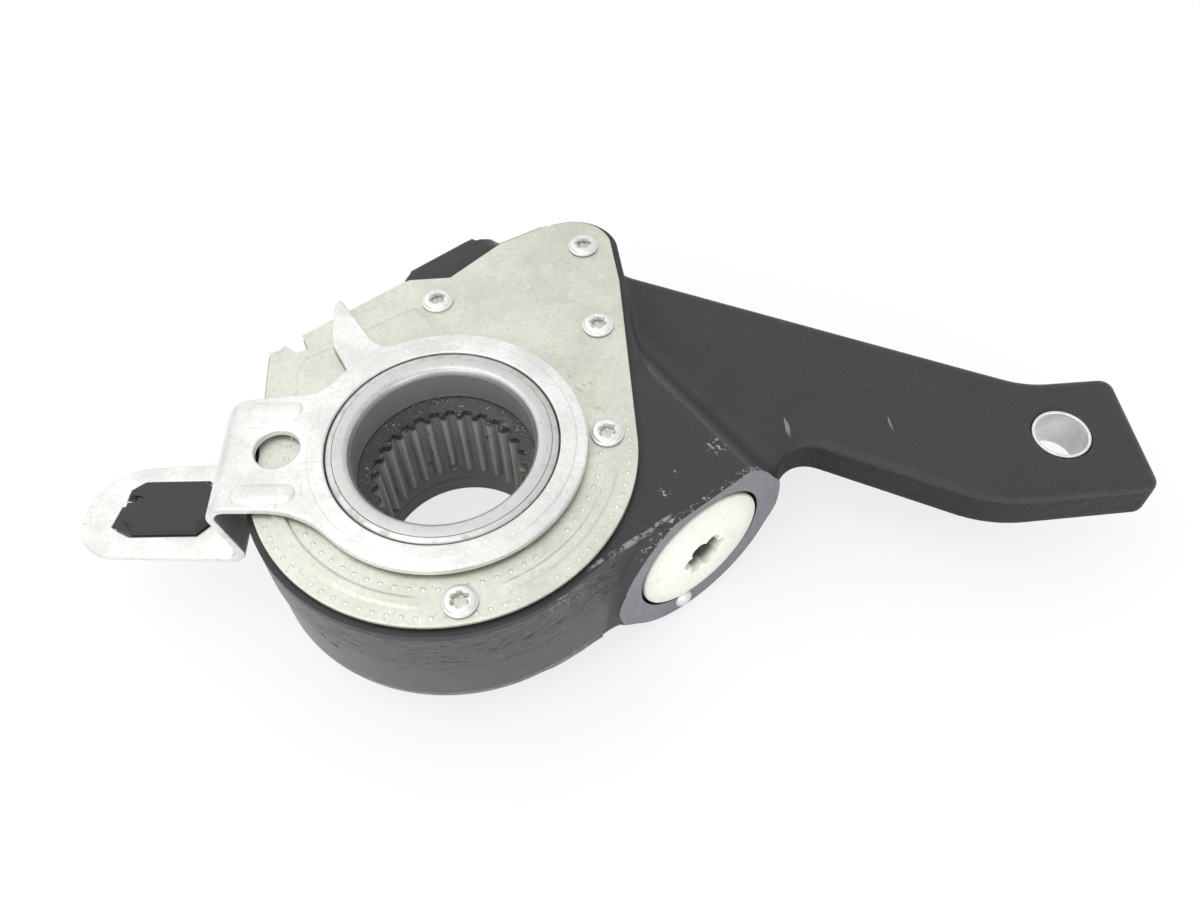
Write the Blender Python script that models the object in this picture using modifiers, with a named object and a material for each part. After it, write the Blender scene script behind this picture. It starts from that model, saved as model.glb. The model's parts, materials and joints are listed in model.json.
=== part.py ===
"""Self-setting brake slack adjuster for a cam brake, lying cover side up.

Lengths are metres. The bore axis is vertical, +X runs from the bore to the clevis eye, and the
lowest face of the hub lies on z = 0.
"""
import math

import bmesh
import bpy
import numpy as np
from mathutils import Matrix, Vector

# Lever
ARM_LENGTH = 0.1524
ARM_THICKNESS = 0.012
ARM_EDGE = 0.0012
CLEVIS_HOLE_R = 0.0064
CLEVIS_BUSH_WALL = 0.00085
CLEVIS_HALF_WIDTH = 0.0174
CLEVIS_END = 0.0187
CLEVIS_CORNER = 0.0040
CLEVIS_TAPER = 0.0012
CLEVIS_NEAR_EXTRA = 0.0008
ARM_WIDTH = 0.037
ARM_SLOPE = math.radians(27.5)
CRANK_BACK = 0.0050
CRANK_LENGTH = 0.0200
CRANK_R = 0.0300
ARM_ROOT_AT = 0.0870
ARM_ROOT_R = 0.0050
ARM_NECK = (0.0740, -0.0080)
ARM_INSIDE = (0.0030, 0.0100)

# Hub
HUB_LENGTH = 0.0508
HUB_R = 0.0460
HUB_DRAFT = 0.0008
HUB_FILLET = 0.0040
SEAT_BELOW_RIM = 0.0052
HUB_DEPTH = 0.0338
REAR_BOSS_R = 0.0330
REAR_BOSS_Z = 0.0005
REAR_BOSS_SLOPE = 0.0015
EDGE = 0.0010
FLANGE_MARGIN = 0.0007
LOBE_DEPTH = 0.0156
LOBE_EDGE = ((0.0160, -0.0300), (0.0050, 0.0560), (0.0022, 0.0650))

# Worm, its wheel and their boss
WORM_ANGLE = math.radians(-57.2)
CENTRE_DISTANCE = 0.0383
WHEEL_TEETH = 22
WHEEL_PITCH_R = 0.0283
WORM_ADDENDUM = 0.0021
WORM_DEDENDUM = 0.0027
WHEEL_FACE = 0.022
WORM_HALF_LENGTH = 0.0133
THREAD_SHORT = 0.0035
BOSS_R = 0.0246
BOSS_DRAFT = 0.0006
BOSS_FACE = 0.0485
BOSS_BACK = 0.0170
BOSS_STRAIGHT = 0.0100
BOSS_BACK_SMALLER = 0.0060
TAIL_R = 0.0162
TAIL_FACE = 0.0615
TAIL_DRAFT = 0.0016
TAIL_EDGE = 0.0015
HEX_FLATS = 0.0111
HEX_STANDS_OUT = 0.006

# Spline bore
SPLINE_TEETH = 28
SPLINE_CREST_R = 0.0172
SPLINE_ROOT_R = 0.01905
SPLINE_BELOW_WORM = 0.0109
SPLINE_ABOVE_WORM = 0.0134
COUNTERBORE_R = 0.0214
LOW_COUNTERBORE_R = 0.0209
CLIP_GROOVE = (0.0050, 0.0056)
CLIP_GROOVE_DEPTH = 0.0005
RIM_CHAMFER = 0.0010
NECK_R = 0.0254
NECK_EDGE = 0.0006

# Control train
CONTROL_RATIO_TEETH = (68, 12)
CONTROL_MODULE = 0.000953
CONTROL_GEAR_BELOW_SEAT = 0.0035
CONTROL_GEAR_ABOVE_SEAT = 0.0002
CONTROL_SHAFT_ACROSS = 0.0150
CONTROL_SHAFT_R = 0.0024
CONTROL_WHEEL_TEETH = 20
CONTROL_WHEEL_PITCH_R = 0.0110
CONTROL_WHEEL_FACE = 0.0080
CONTROL_ADDENDUM = 0.00085
CONTROL_DEDENDUM = 0.0012
CONTROL_WORM_HALF_LENGTH = 0.0088
CONTROL_THREAD_SHORT = 0.0026
CONTROL_SHAFT_BELOW_WORM = 0.0126
COLLAR_WALL = 0.0013

# Stations along the worm axis, from the point nearest to the bore towards the cap
JOURNAL_R = 0.0060
JOURNAL_FROM = -0.0142
JOURNAL_LAND = (-0.0560, -0.0480)
WORM_ROOM_FROM = -0.0360
WORM_ROOM_TO = 0.0190
WORM_NOSE = (0.0149, 0.0178)
SLEEVE_R = 0.0079
SLEEVE = (-0.0352, -0.0146)
DRUM_R = 0.0091
DRUM_EDGES = (-0.0207, -0.0204)
WRAP_SPRING = (-0.0256, 0.0011, 0.0017, 0.0018)
WRAP_TURNS = 5
BEARING = (0.0152, 0.0178)
BEARING_R = 0.0114
SEAT_RIM = (0.0196, 0.0220)
SEAT_ENDS = (0.0181, 0.0252)
SEAT_RADII = (0.0080, 0.0105, 0.0144)
THRUST_SPRING = (0.0241, 0.0369)
THRUST_SPRING_R = 0.0114
THRUST_WIRE_R = 0.0018
THRUST_TURNS = 3
CHAMBER_R = 0.0150
CHAMBER = (0.0193, 0.0380)

# End cap
CAP_R = 0.0181
CAP_THREAD_R = 0.0166
CAP_HEAD = 0.0033
CAP_STANDS_OUT = 0.0008
CAP_FROM = 0.0390
CAP_GROOVE = (0.0412, 0.0432)
CAP_GROOVE_DEPTH = 0.0014
CAP_SEAL_R = 0.00068
CAP_RECESS_R = 0.0056
CAP_RECESS_DEPTH = 0.0045
LOCK_PIN_R = 0.0011
LOCK_PIN_RADIUS = 0.0195
LOCK_PIN_ANGLE = math.radians(76)
LOCK_PIN_OUT = 0.0014
LOCK_PIN_IN = 0.0068

# Cover
COVER_LEFT_IN = 0.0028
COVER_LEFT_END = 0.0348
COVER_CORNER = ((-0.0410, 0.0356), (-0.0398, 0.0371), (-0.0374, 0.0338), (-0.0337, 0.0354))
COVER_SHOULDER = ((-0.0355, 0.0400), (-0.0097, 0.0561))
COVER_SADDLE = (0.0022, 0.0562)
COVER_SLANT = ((0.0158, 0.0674), (0.0285, 0.0730))
COVER_TIP = (0.0349, 0.0631)
COVER_TIP_R = 0.0107
COVER_RIGHT = ((0.0463, 0.0500), (0.0457, 0.0200))
COVER_SHEET = 0.0010
COVER_STEP = 0.0006
COVER_STEP_R = 0.0409
COVER_STEP_EDGE = 0.0004
COVER_STEP_LEFT = ((-0.0353, 0.0205), (-0.0353, 0.0318), (-0.0100, 0.0455))
COVER_STEP_TIP = ((0.0140, 0.0560), (0.0290, 0.0600))
SCREW_LAND_R = 0.0072
GASKET = 0.0005
SCREW_R = 0.0020
SCREW_HEAD_R = 0.0036
SCREW_HEAD_HEIGHT = 0.0021
SCREW_CROWN = (0.0019, 0.0029)
SCREW_CROWN_DROP = 0.0003
SCREW_RECESS_R = 0.0017
SCREW_RECESS_DEPTH = 0.0012
SCREW_TIP_ABOVE_WORM = 0.0149
SCREW_PLACES = ((0.0380, 0.0634), (0.0393, 0.0346), (0.0383, 0.0006), (0.0030, -0.0401), (-0.0011, 0.0476))

# Control arm
SHEET = 0.0020
RING_BELOW_RIM = 0.00035
RING_R = 0.0337
RING_HOLE_R = 0.02745
POINTER = ((-0.0147, 0.0320), (-0.0175, 0.0340), (-0.0196, 0.0379), (-0.0225, 0.0432), (-0.0256, 0.0479),
           (-0.0267, 0.0456), (-0.0273, 0.0415), (-0.0269, 0.0337), (-0.0252, 0.0290))
BRACKET_ANGLE = math.radians(174.9)
BRACKET_AXIS = 0.0019
BRACKET_HALF_WIDTH = 0.0156
BRACKET_ROOT = ((0.0345, 0.0010), (0.0335, 0.0002), (0.0285, 0.0020))
WALL_OUTSIDE_HUB = 0.0068
WALL_LEAN = 0.0024
WALL_DRAFT = -7.5
TAB_DROP = 0.02365
TAB_LENGTH = 0.0392
TAB_CORNER = 0.0090
TAB_HALF_WIDTH = 0.0144
TAB_TAPER = 0.045
BEND_R = 0.0030
RIB = (0.0330, 0.0475)
RIB_HALF_WIDTH = 0.0018
RIB_CORNER = 0.0017
RIB_HEIGHT = 0.0006
RIB_ASIDE = 0.0118
RIB_AXIS = 0.0017
ARM_HOLE_AT = 0.0383
ARM_HOLE_ASIDE = 0.0009
ARM_HOLE_R = 0.0053
INSERT_FROM_WALL = 0.0179
INSERT_ASIDE = 0.0014
INSERT_HALF_LENGTH = 0.0112
INSERT_HALF_WIDTH = 0.0076
INSERT_CORNER = 0.0035
INSERT_EDGE = 0.0008
INSERT_STANDS_OUT = 0.0020
RING_SEAL_R = 0.0003

# Clearances
GAP = 0.00025
SEAT_GAP = 0.00020
BORE_GAP = 0.00030
FREE = 0.00040
TIP_GAP = 0.00060
ROOM_GAP = 0.00080
RING_ROOM = 0.0030
BUSH_WALL = 0.0026
OVERCUT = 0.0010

# Places worked out from the sizes above
ALONG = Vector((math.cos(WORM_ANGLE), math.sin(WORM_ANGLE), 0))
ACROSS = Vector((-math.sin(WORM_ANGLE), math.cos(WORM_ANGLE), 0))
ACROSS_ANGLE = WORM_ANGLE + math.pi / 2
FOOT = ACROSS * CENTRE_DISTANCE
WORM_Z = HUB_LENGTH / 2
SEAT_Z = HUB_LENGTH - SEAT_BELOW_RIM
HUB_BOTTOM_Z = SEAT_Z - HUB_DEPTH
LOBE_LOW_Z = SEAT_Z - LOBE_DEPTH
SPLINE_LOW_Z = WORM_Z - SPLINE_BELOW_WORM
SPLINE_HIGH_Z = WORM_Z + SPLINE_ABOVE_WORM
WORM_PITCH_R = CENTRE_DISTANCE - WHEEL_PITCH_R
WHEEL_TIP_R = WHEEL_PITCH_R + WORM_ADDENDUM
WHEEL_ROOT_R = WHEEL_PITCH_R - WORM_DEDENDUM
WORM_TIP_R = WORM_PITCH_R + WORM_ADDENDUM
WORM_ROOT_R = WORM_PITCH_R - WORM_DEDENDUM
WORM_NOSE_R = WORM_ROOT_R - NECK_EDGE
WORM_LEAD = 2 * math.pi * WHEEL_PITCH_R / WHEEL_TEETH
WHEEL_LOW_Z = WORM_Z - WHEEL_FACE / 2
WHEEL_HIGH_Z = WORM_Z + WHEEL_FACE / 2
CONTROL_GEAR_Z = (SEAT_Z - CONTROL_GEAR_BELOW_SEAT, SEAT_Z + CONTROL_GEAR_ABOVE_SEAT)
CONTROL_RING_R = CONTROL_MODULE * CONTROL_RATIO_TEETH[0] / 2
CONTROL_PINION_R = CONTROL_MODULE * CONTROL_RATIO_TEETH[1] / 2
CONTROL_TOOTH = 0.75 * CONTROL_MODULE
CONTROL_CENTRES = CONTROL_RING_R + CONTROL_PINION_R
CONTROL_WHEEL_AT = -math.sqrt(CONTROL_CENTRES**2 - (CENTRE_DISTANCE - CONTROL_SHAFT_ACROSS)**2)
CONTROL_SHAFT = FOOT + ALONG * CONTROL_WHEEL_AT - ACROSS * CONTROL_SHAFT_ACROSS
CONTROL_WORM_PITCH_R = CONTROL_SHAFT_ACROSS - CONTROL_WHEEL_PITCH_R
CONTROL_WORM_TIP_R = CONTROL_WORM_PITCH_R + CONTROL_ADDENDUM
CONTROL_WORM_ROOT_R = CONTROL_WORM_PITCH_R - CONTROL_DEDENDUM
CONTROL_LEAD = 2 * math.pi * CONTROL_WHEEL_PITCH_R / CONTROL_WHEEL_TEETH
CLEVIS_BUSH_R = CLEVIS_HOLE_R + CLEVIS_BUSH_WALL
ARM_LOW_Z = WORM_Z - ARM_THICKNESS / 2
ARM_HIGH_Z = WORM_Z + ARM_THICKNESS / 2
COVER_R = HUB_R - FLANGE_MARGIN
COVER_LEFT = HUB_R - COVER_LEFT_IN
GASKET_Z = SEAT_Z + SEAT_GAP
COVER_Z = GASKET_Z + GASKET + SEAT_GAP
COVER_TOP_Z = COVER_Z + COVER_SHEET
SCREW_LENGTH = COVER_TOP_Z - WORM_Z - SCREW_TIP_ABOVE_WORM
ARM_TOP_Z = HUB_LENGTH - RING_BELOW_RIM
TAB_TOP_Z = ARM_TOP_Z - TAB_DROP
WALL_AT = HUB_R + WALL_OUTSIDE_HUB
TAB_END = WALL_AT + TAB_LENGTH
INSERT_AT = WALL_AT + INSERT_FROM_WALL
WHEEL_CAVITY_R = WHEEL_TIP_R + ROOM_GAP
WORM_BORE_R = WORM_TIP_R + TIP_GAP
SHAFT_ROOM_R = CONTROL_WORM_TIP_R + GAP * 2
PINION_ROOM_R = CONTROL_PINION_R + CONTROL_TOOTH + ROOM_GAP
RECESS_Z = CONTROL_GEAR_Z[0] - 2 * GAP
COLLAR_R = NECK_R + 2 * GAP
LOCK_PIN_AT = (LOCK_PIN_RADIUS * math.cos(LOCK_PIN_ANGLE), LOCK_PIN_RADIUS * math.sin(LOCK_PIN_ANGLE), 0)

# Scene

for old in list(bpy.data.objects):
    bpy.data.objects.remove(old, do_unlink=True)
parts = bpy.data.collections.new("brake_slack_adjuster")
helpers = bpy.data.collections.new("cutters")
bpy.context.scene.collection.children.link(parts)
bpy.context.scene.collection.children.link(helpers)


def material(name, colour, roughness, metallic):
    """Makes a Principled material in one colour."""
    made = bpy.data.materials.new(name)
    made.use_nodes = True
    shader = made.node_tree.nodes["Principled BSDF"]
    shader.inputs["Base Color"].default_value = (*colour, 1)
    shader.inputs["Roughness"].default_value = roughness
    shader.inputs["Metallic"].default_value = metallic
    return made


BLACK_PAINT = material("black_paint", (0.055, 0.055, 0.06), 0.42, 0.0)
ZINC = material("zinc_plate", (0.62, 0.63, 0.57), 0.38, 0.9)
BRIGHT_ZINC = material("bright_zinc", (0.76, 0.77, 0.74), 0.30, 0.9)
STEEL = material("machined_steel", (0.50, 0.50, 0.50), 0.32, 1.0)
DARK_STEEL = material("oiled_steel", (0.14, 0.145, 0.15), 0.36, 0.9)
SPRING_STEEL = material("spring_steel", (0.22, 0.22, 0.23), 0.30, 1.0)
BRONZE = material("bronze", (0.55, 0.38, 0.18), 0.40, 1.0)
RUBBER = material("seal_rubber", (0.03, 0.03, 0.03), 0.75, 0.0)
PLASTIC = material("black_plastic", (0.035, 0.036, 0.038), 0.55, 0.0)
GASKET_PAPER = material("gasket_paper", (0.20, 0.19, 0.17), 0.85, 0.0)


def keep(thing, finish, collection=parts):
    """Puts an object in a collection with its material and smooth round faces."""
    for group in list(thing.users_collection):
        group.objects.unlink(thing)
    collection.objects.link(thing)
    if collection is helpers:
        thing.hide_render = True
        thing.display_type = "WIRE"
        return thing
    thing.data.materials.clear()
    thing.data.materials.append(finish)
    thing.data.shade_smooth()
    thing.data.set_sharp_from_angle(angle=math.radians(35))
    return thing


def from_bmesh(name, mesh):
    """Turns a bmesh into an object that is not yet in a collection."""
    mesh.normal_update()
    data = bpy.data.meshes.new(name)
    mesh.to_mesh(data)
    mesh.free()
    return bpy.data.objects.new(name, data)


def turned(name, profile, steps=48, finish=None, collection=parts, closed=False, frame=None):
    """Turns a profile of (radius, height) points, listed down its outer side, about local Z."""
    mesh = bmesh.new()
    points = [mesh.verts.new((r, 0, z)) for r, z in profile]
    for a, b in zip(points, points[1:] + points[:1] if closed else points[1:]):
        mesh.edges.new((a, b))
    thing = from_bmesh(name, mesh)
    screw = thing.modifiers.new("turn", "SCREW")
    screw.steps = screw.render_steps = steps
    screw.use_merge_vertices = True
    screw.merge_threshold = 0.00001
    screw.use_smooth_shade = True
    if frame:
        thing.matrix_world = frame
    return keep(thing, finish, collection)


def ring(name, inner, outer, low, high, steps=48, finish=None, collection=parts, frame=None):
    """A plain ring with a square section."""
    section = [(outer, high), (outer, low), (inner, low), (inner, high)]
    return turned(name, section, steps, finish, collection, True, frame)


def disc(name, radius, low, high, steps=48, finish=None, collection=parts, frame=None):
    """A plain round bar."""
    return turned(name, [(0, high), (radius, high), (radius, low), (0, low)], steps, finish, collection, False, frame)


def arc(centre, radius, start, end, steps):
    """Points on an arc, with angles in degrees."""
    return [(centre[0] + radius * math.cos(math.radians(a)), centre[1] + radius * math.sin(math.radians(a)))
            for a in np.linspace(start, end, steps + 1)]


def rounded(corners, steps=5):
    """Replaces each (x, y, radius) corner of a closed outline by an arc."""
    outline = []
    count = len(corners)
    for i, (x, y, radius) in enumerate(corners):
        here = Vector((x, y))
        before = (Vector(corners[i - 1][:2]) - here).normalized()
        after = (Vector(corners[(i + 1) % count][:2]) - here).normalized()
        if radius <= 0:
            outline.append((x, y))
            continue
        half = before.angle(after) / 2
        centre = here + (before + after).normalized() * radius / math.sin(half)
        first = here + before * radius / math.tan(half) - centre
        turn = first.angle_signed(here + after * radius / math.tan(half) - centre)
        for k in range(steps + 1):
            spoke = first.copy()
            spoke.rotate(Matrix.Rotation(-turn * k / steps, 2))
            outline.append(tuple(centre + spoke))
    return outline


def extruded(name, outlines, low, high, finish=None, collection=parts, soften=0.0, frame=None):
    """Extrudes flat outlines from low to high; an outline inside another is a hole."""
    flat = bpy.data.curves.new(name, "CURVE")
    flat.dimensions = "2D"
    flat.fill_mode = "BOTH"
    flat.extrude = (high - low) / 2 - soften
    flat.bevel_depth = soften
    flat.bevel_resolution = 0
    flat.offset = -soften
    for outline in outlines:
        spline = flat.splines.new("POLY")
        spline.points.add(len(outline) - 1)
        for point, (x, y) in zip(spline.points, outline):
            point.co = (x, y, 0, 1)
        spline.use_cyclic_u = True
    drawn = bpy.data.objects.new(name + "_outline", flat)
    helpers.objects.link(drawn)
    bpy.context.view_layer.update()
    solid = bpy.data.meshes.new_from_object(drawn.evaluated_get(bpy.context.evaluated_depsgraph_get()))
    bpy.data.objects.remove(drawn, do_unlink=True)
    bpy.data.curves.remove(flat)
    mesh = bmesh.new()
    mesh.from_mesh(solid)
    bpy.data.meshes.remove(solid)
    bmesh.ops.remove_doubles(mesh, verts=mesh.verts, dist=0.000002)
    bmesh.ops.translate(mesh, verts=mesh.verts, vec=(0, 0, (low + high) / 2))
    bmesh.ops.recalc_face_normals(mesh, faces=mesh.faces)
    thing = from_bmesh(name, mesh)
    if frame:
        thing.matrix_world = frame
    return keep(thing, finish, collection)


def combine(target, other, operation):
    """Adds a Boolean that cuts, joins or keeps what two solids share."""
    step = target.modifiers.new(operation.lower() + "_" + other.name, "BOOLEAN")
    step.operation = operation
    step.solver = "EXACT"
    step.object = other
    return target


def combine_all(target, others, operation):
    """One Boolean with several solids at once."""
    group = bpy.data.collections.new(target.name + "_" + operation.lower())
    helpers.children.link(group)
    for other in others:
        group.objects.link(other)
    step = target.modifiers.new(operation.lower(), "BOOLEAN")
    step.operation = operation
    step.solver = "EXACT"
    step.operand_type = "COLLECTION"
    step.collection = group


def cut(target, *others):
    """Cuts helper solids out of a piece."""
    for other in others:
        combine(target, other, "DIFFERENCE")


def join(target, *others):
    """Joins helper solids to a piece."""
    for other in others:
        combine(target, other, "UNION")


def loft(name, rings, finish=None, collection=parts, frame=None):
    """Skins rings of equally many points, listed anticlockwise from bottom to top, and caps both ends."""
    mesh = bmesh.new()
    rows = [[mesh.verts.new(point) for point in points] for points in rings]
    for lower, upper in zip(rows, rows[1:]):
        for i in range(len(lower)):
            j = (i + 1) % len(lower)
            mesh.faces.new((lower[i], lower[j], upper[j], upper[i]))
    mesh.faces.new(rows[0][::-1])
    mesh.faces.new(rows[-1])
    thing = from_bmesh(name, mesh)
    if frame:
        thing.matrix_world = frame
    return keep(thing, finish, collection)


def gear_outline(teeth, pitch, root, tip, pressure, fill=0.42, turn=0.0, stride=1):
    """Outline of an external gear with involute flanks and its first tooth on +X.

    A tooth is fill of the pitch wide on the pitch circle, which leaves the rest as backlash.
    """
    base = pitch * math.cos(pressure)
    at_pitch = math.tan(pressure) - pressure
    outline = []
    for k in range(teeth):
        middle = 2 * math.pi * k / teeth + turn
        flank = []
        for radius in (root, pitch, tip)[::stride]:
            angle = math.acos(min(1, base / radius))
            half = fill * math.pi / teeth + at_pitch - (math.tan(angle) - angle)
            flank.append((radius, half))
        for radius, half in flank:
            outline.append((radius * math.cos(middle - half), radius * math.sin(middle - half)))
        for radius, half in flank[::-1]:
            outline.append((radius * math.cos(middle + half), radius * math.sin(middle + half)))
    return outline


def helical_gear(name, outline, low, high, twist, layers, finish=None, collection=parts, frame=None):
    """A gear whose outline turns by twist radians a metre, with no turn at mid face."""
    middle = (low + high) / 2
    rings = []
    for height in np.linspace(low, high, layers + 1):
        turn = twist * (height - middle)
        c, s = math.cos(turn), math.sin(turn)
        rings.append([(x * c - y * s, x * s + y * c, height) for x, y in outline])
    return loft(name, rings, finish, collection, frame)


def thread(name, root, tip, lead, half_length, pressure, middle=0.0, fill=0.42, per_turn=16, frame=None):
    """A right-handed worm thread of trapezoid section, whose crest crosses +X at the middle height."""
    pitch_r = (root + tip) / 2
    sunk = root * 0.9
    crest = fill * lead / 2 - (tip - pitch_r) * math.tan(pressure)
    foot = fill * lead / 2 + (pitch_r - sunk) * math.tan(pressure)
    count = int(2 * half_length / lead * per_turn)
    rings = []
    for k in range(count + 1):
        turn = 2 * math.pi * (k - count // 2) / per_turn
        height = lead * turn / (2 * math.pi) + middle
        end = min(1.0, min(k, count - k) / 4 + 0.3)
        edge = root + (tip - root) * end
        rows = ((edge, crest), (edge, -crest), (sunk, -foot), (sunk, foot))
        rings.append([(r * math.cos(turn), r * math.sin(turn), height + h) for r, h in rows])
    return loft(name, rings, None, helpers, frame)


def frame_at(origin, x_axis, z_axis):
    """A placement whose local X and Z run along two given directions."""
    x_axis, z_axis = Vector(x_axis).normalized(), Vector(z_axis).normalized()
    y_axis = z_axis.cross(x_axis)
    turn = Matrix((x_axis, y_axis, z_axis)).transposed().to_4x4()
    return Matrix.Translation(origin) @ turn


PLAIN = Matrix.Identity(4)
WORM_FRAME = frame_at((FOOT.x, FOOT.y, WORM_Z), -ACROSS, ALONG)
WHEEL_FRAME = frame_at((0, 0, 0), ACROSS, (0, 0, 1))
SHAFT_FRAME = frame_at((CONTROL_SHAFT.x, CONTROL_SHAFT.y, 0), ACROSS, (0, 0, 1))
BRACKET_FRAME = frame_at((0, 0, 0), (math.cos(BRACKET_ANGLE), math.sin(BRACKET_ANGLE), 0), (0, 0, 1))
MAIN_PRESSURE = math.radians(20)
CONTROL_PRESSURE = math.radians(25)


def cover_outline(grow=0.0, steps=26):
    """Outline of the cover seen from above, with its notched corner at the upper left."""
    left = -(COVER_LEFT + grow)
    meet = math.degrees(math.acos(left / (COVER_R + grow)))
    step = Vector((-ACROSS.y, ACROSS.x)) * grow
    points = arc((0, 0), COVER_R + grow, 0, -meet, steps)
    points += [(left, COVER_LEFT_END + grow)] + [(x + step.x, y + grow) for x, y in COVER_CORNER]
    points += [(x + step.x, y + step.y) for x, y in COVER_SHOULDER]
    points += [(COVER_SADDLE[0], COVER_SADDLE[1] + grow)] + [(x + step.x, y + step.y) for x, y in COVER_SLANT]
    points += arc(COVER_TIP, COVER_TIP_R + grow, 118, 12, 8)
    points += [(x + grow, y) for x, y in COVER_RIGHT]
    return points


def make_lever_outline():
    """Plan of the arm: a straight cranked beam that ends round the clevis eye."""
    down = math.tan(ARM_SLOPE)
    top = CLEVIS_HALF_WIDTH
    low = -top - CLEVIS_NEAR_EXTRA
    far_x = ARM_LENGTH - CRANK_BACK
    near_x = far_x - (2 * top - ARM_WIDTH / math.cos(ARM_SLOPE)) / down - CRANK_LENGTH
    end = ARM_LENGTH + CLEVIS_END
    root_x = FOOT.x + ARM_INSIDE[0]
    return rounded([(root_x, top + (far_x - root_x) * down, 0), (far_x, top, CRANK_R),
                    (end, top - CLEVIS_TAPER, CLEVIS_CORNER), (end, low, CLEVIS_CORNER), (near_x, low, CRANK_R),
                    (ARM_ROOT_AT, low + (near_x - ARM_ROOT_AT) * down, ARM_ROOT_R), (*ARM_NECK, 0),
                    (root_x, ARM_INSIDE[1], 0)], 5)


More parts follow.
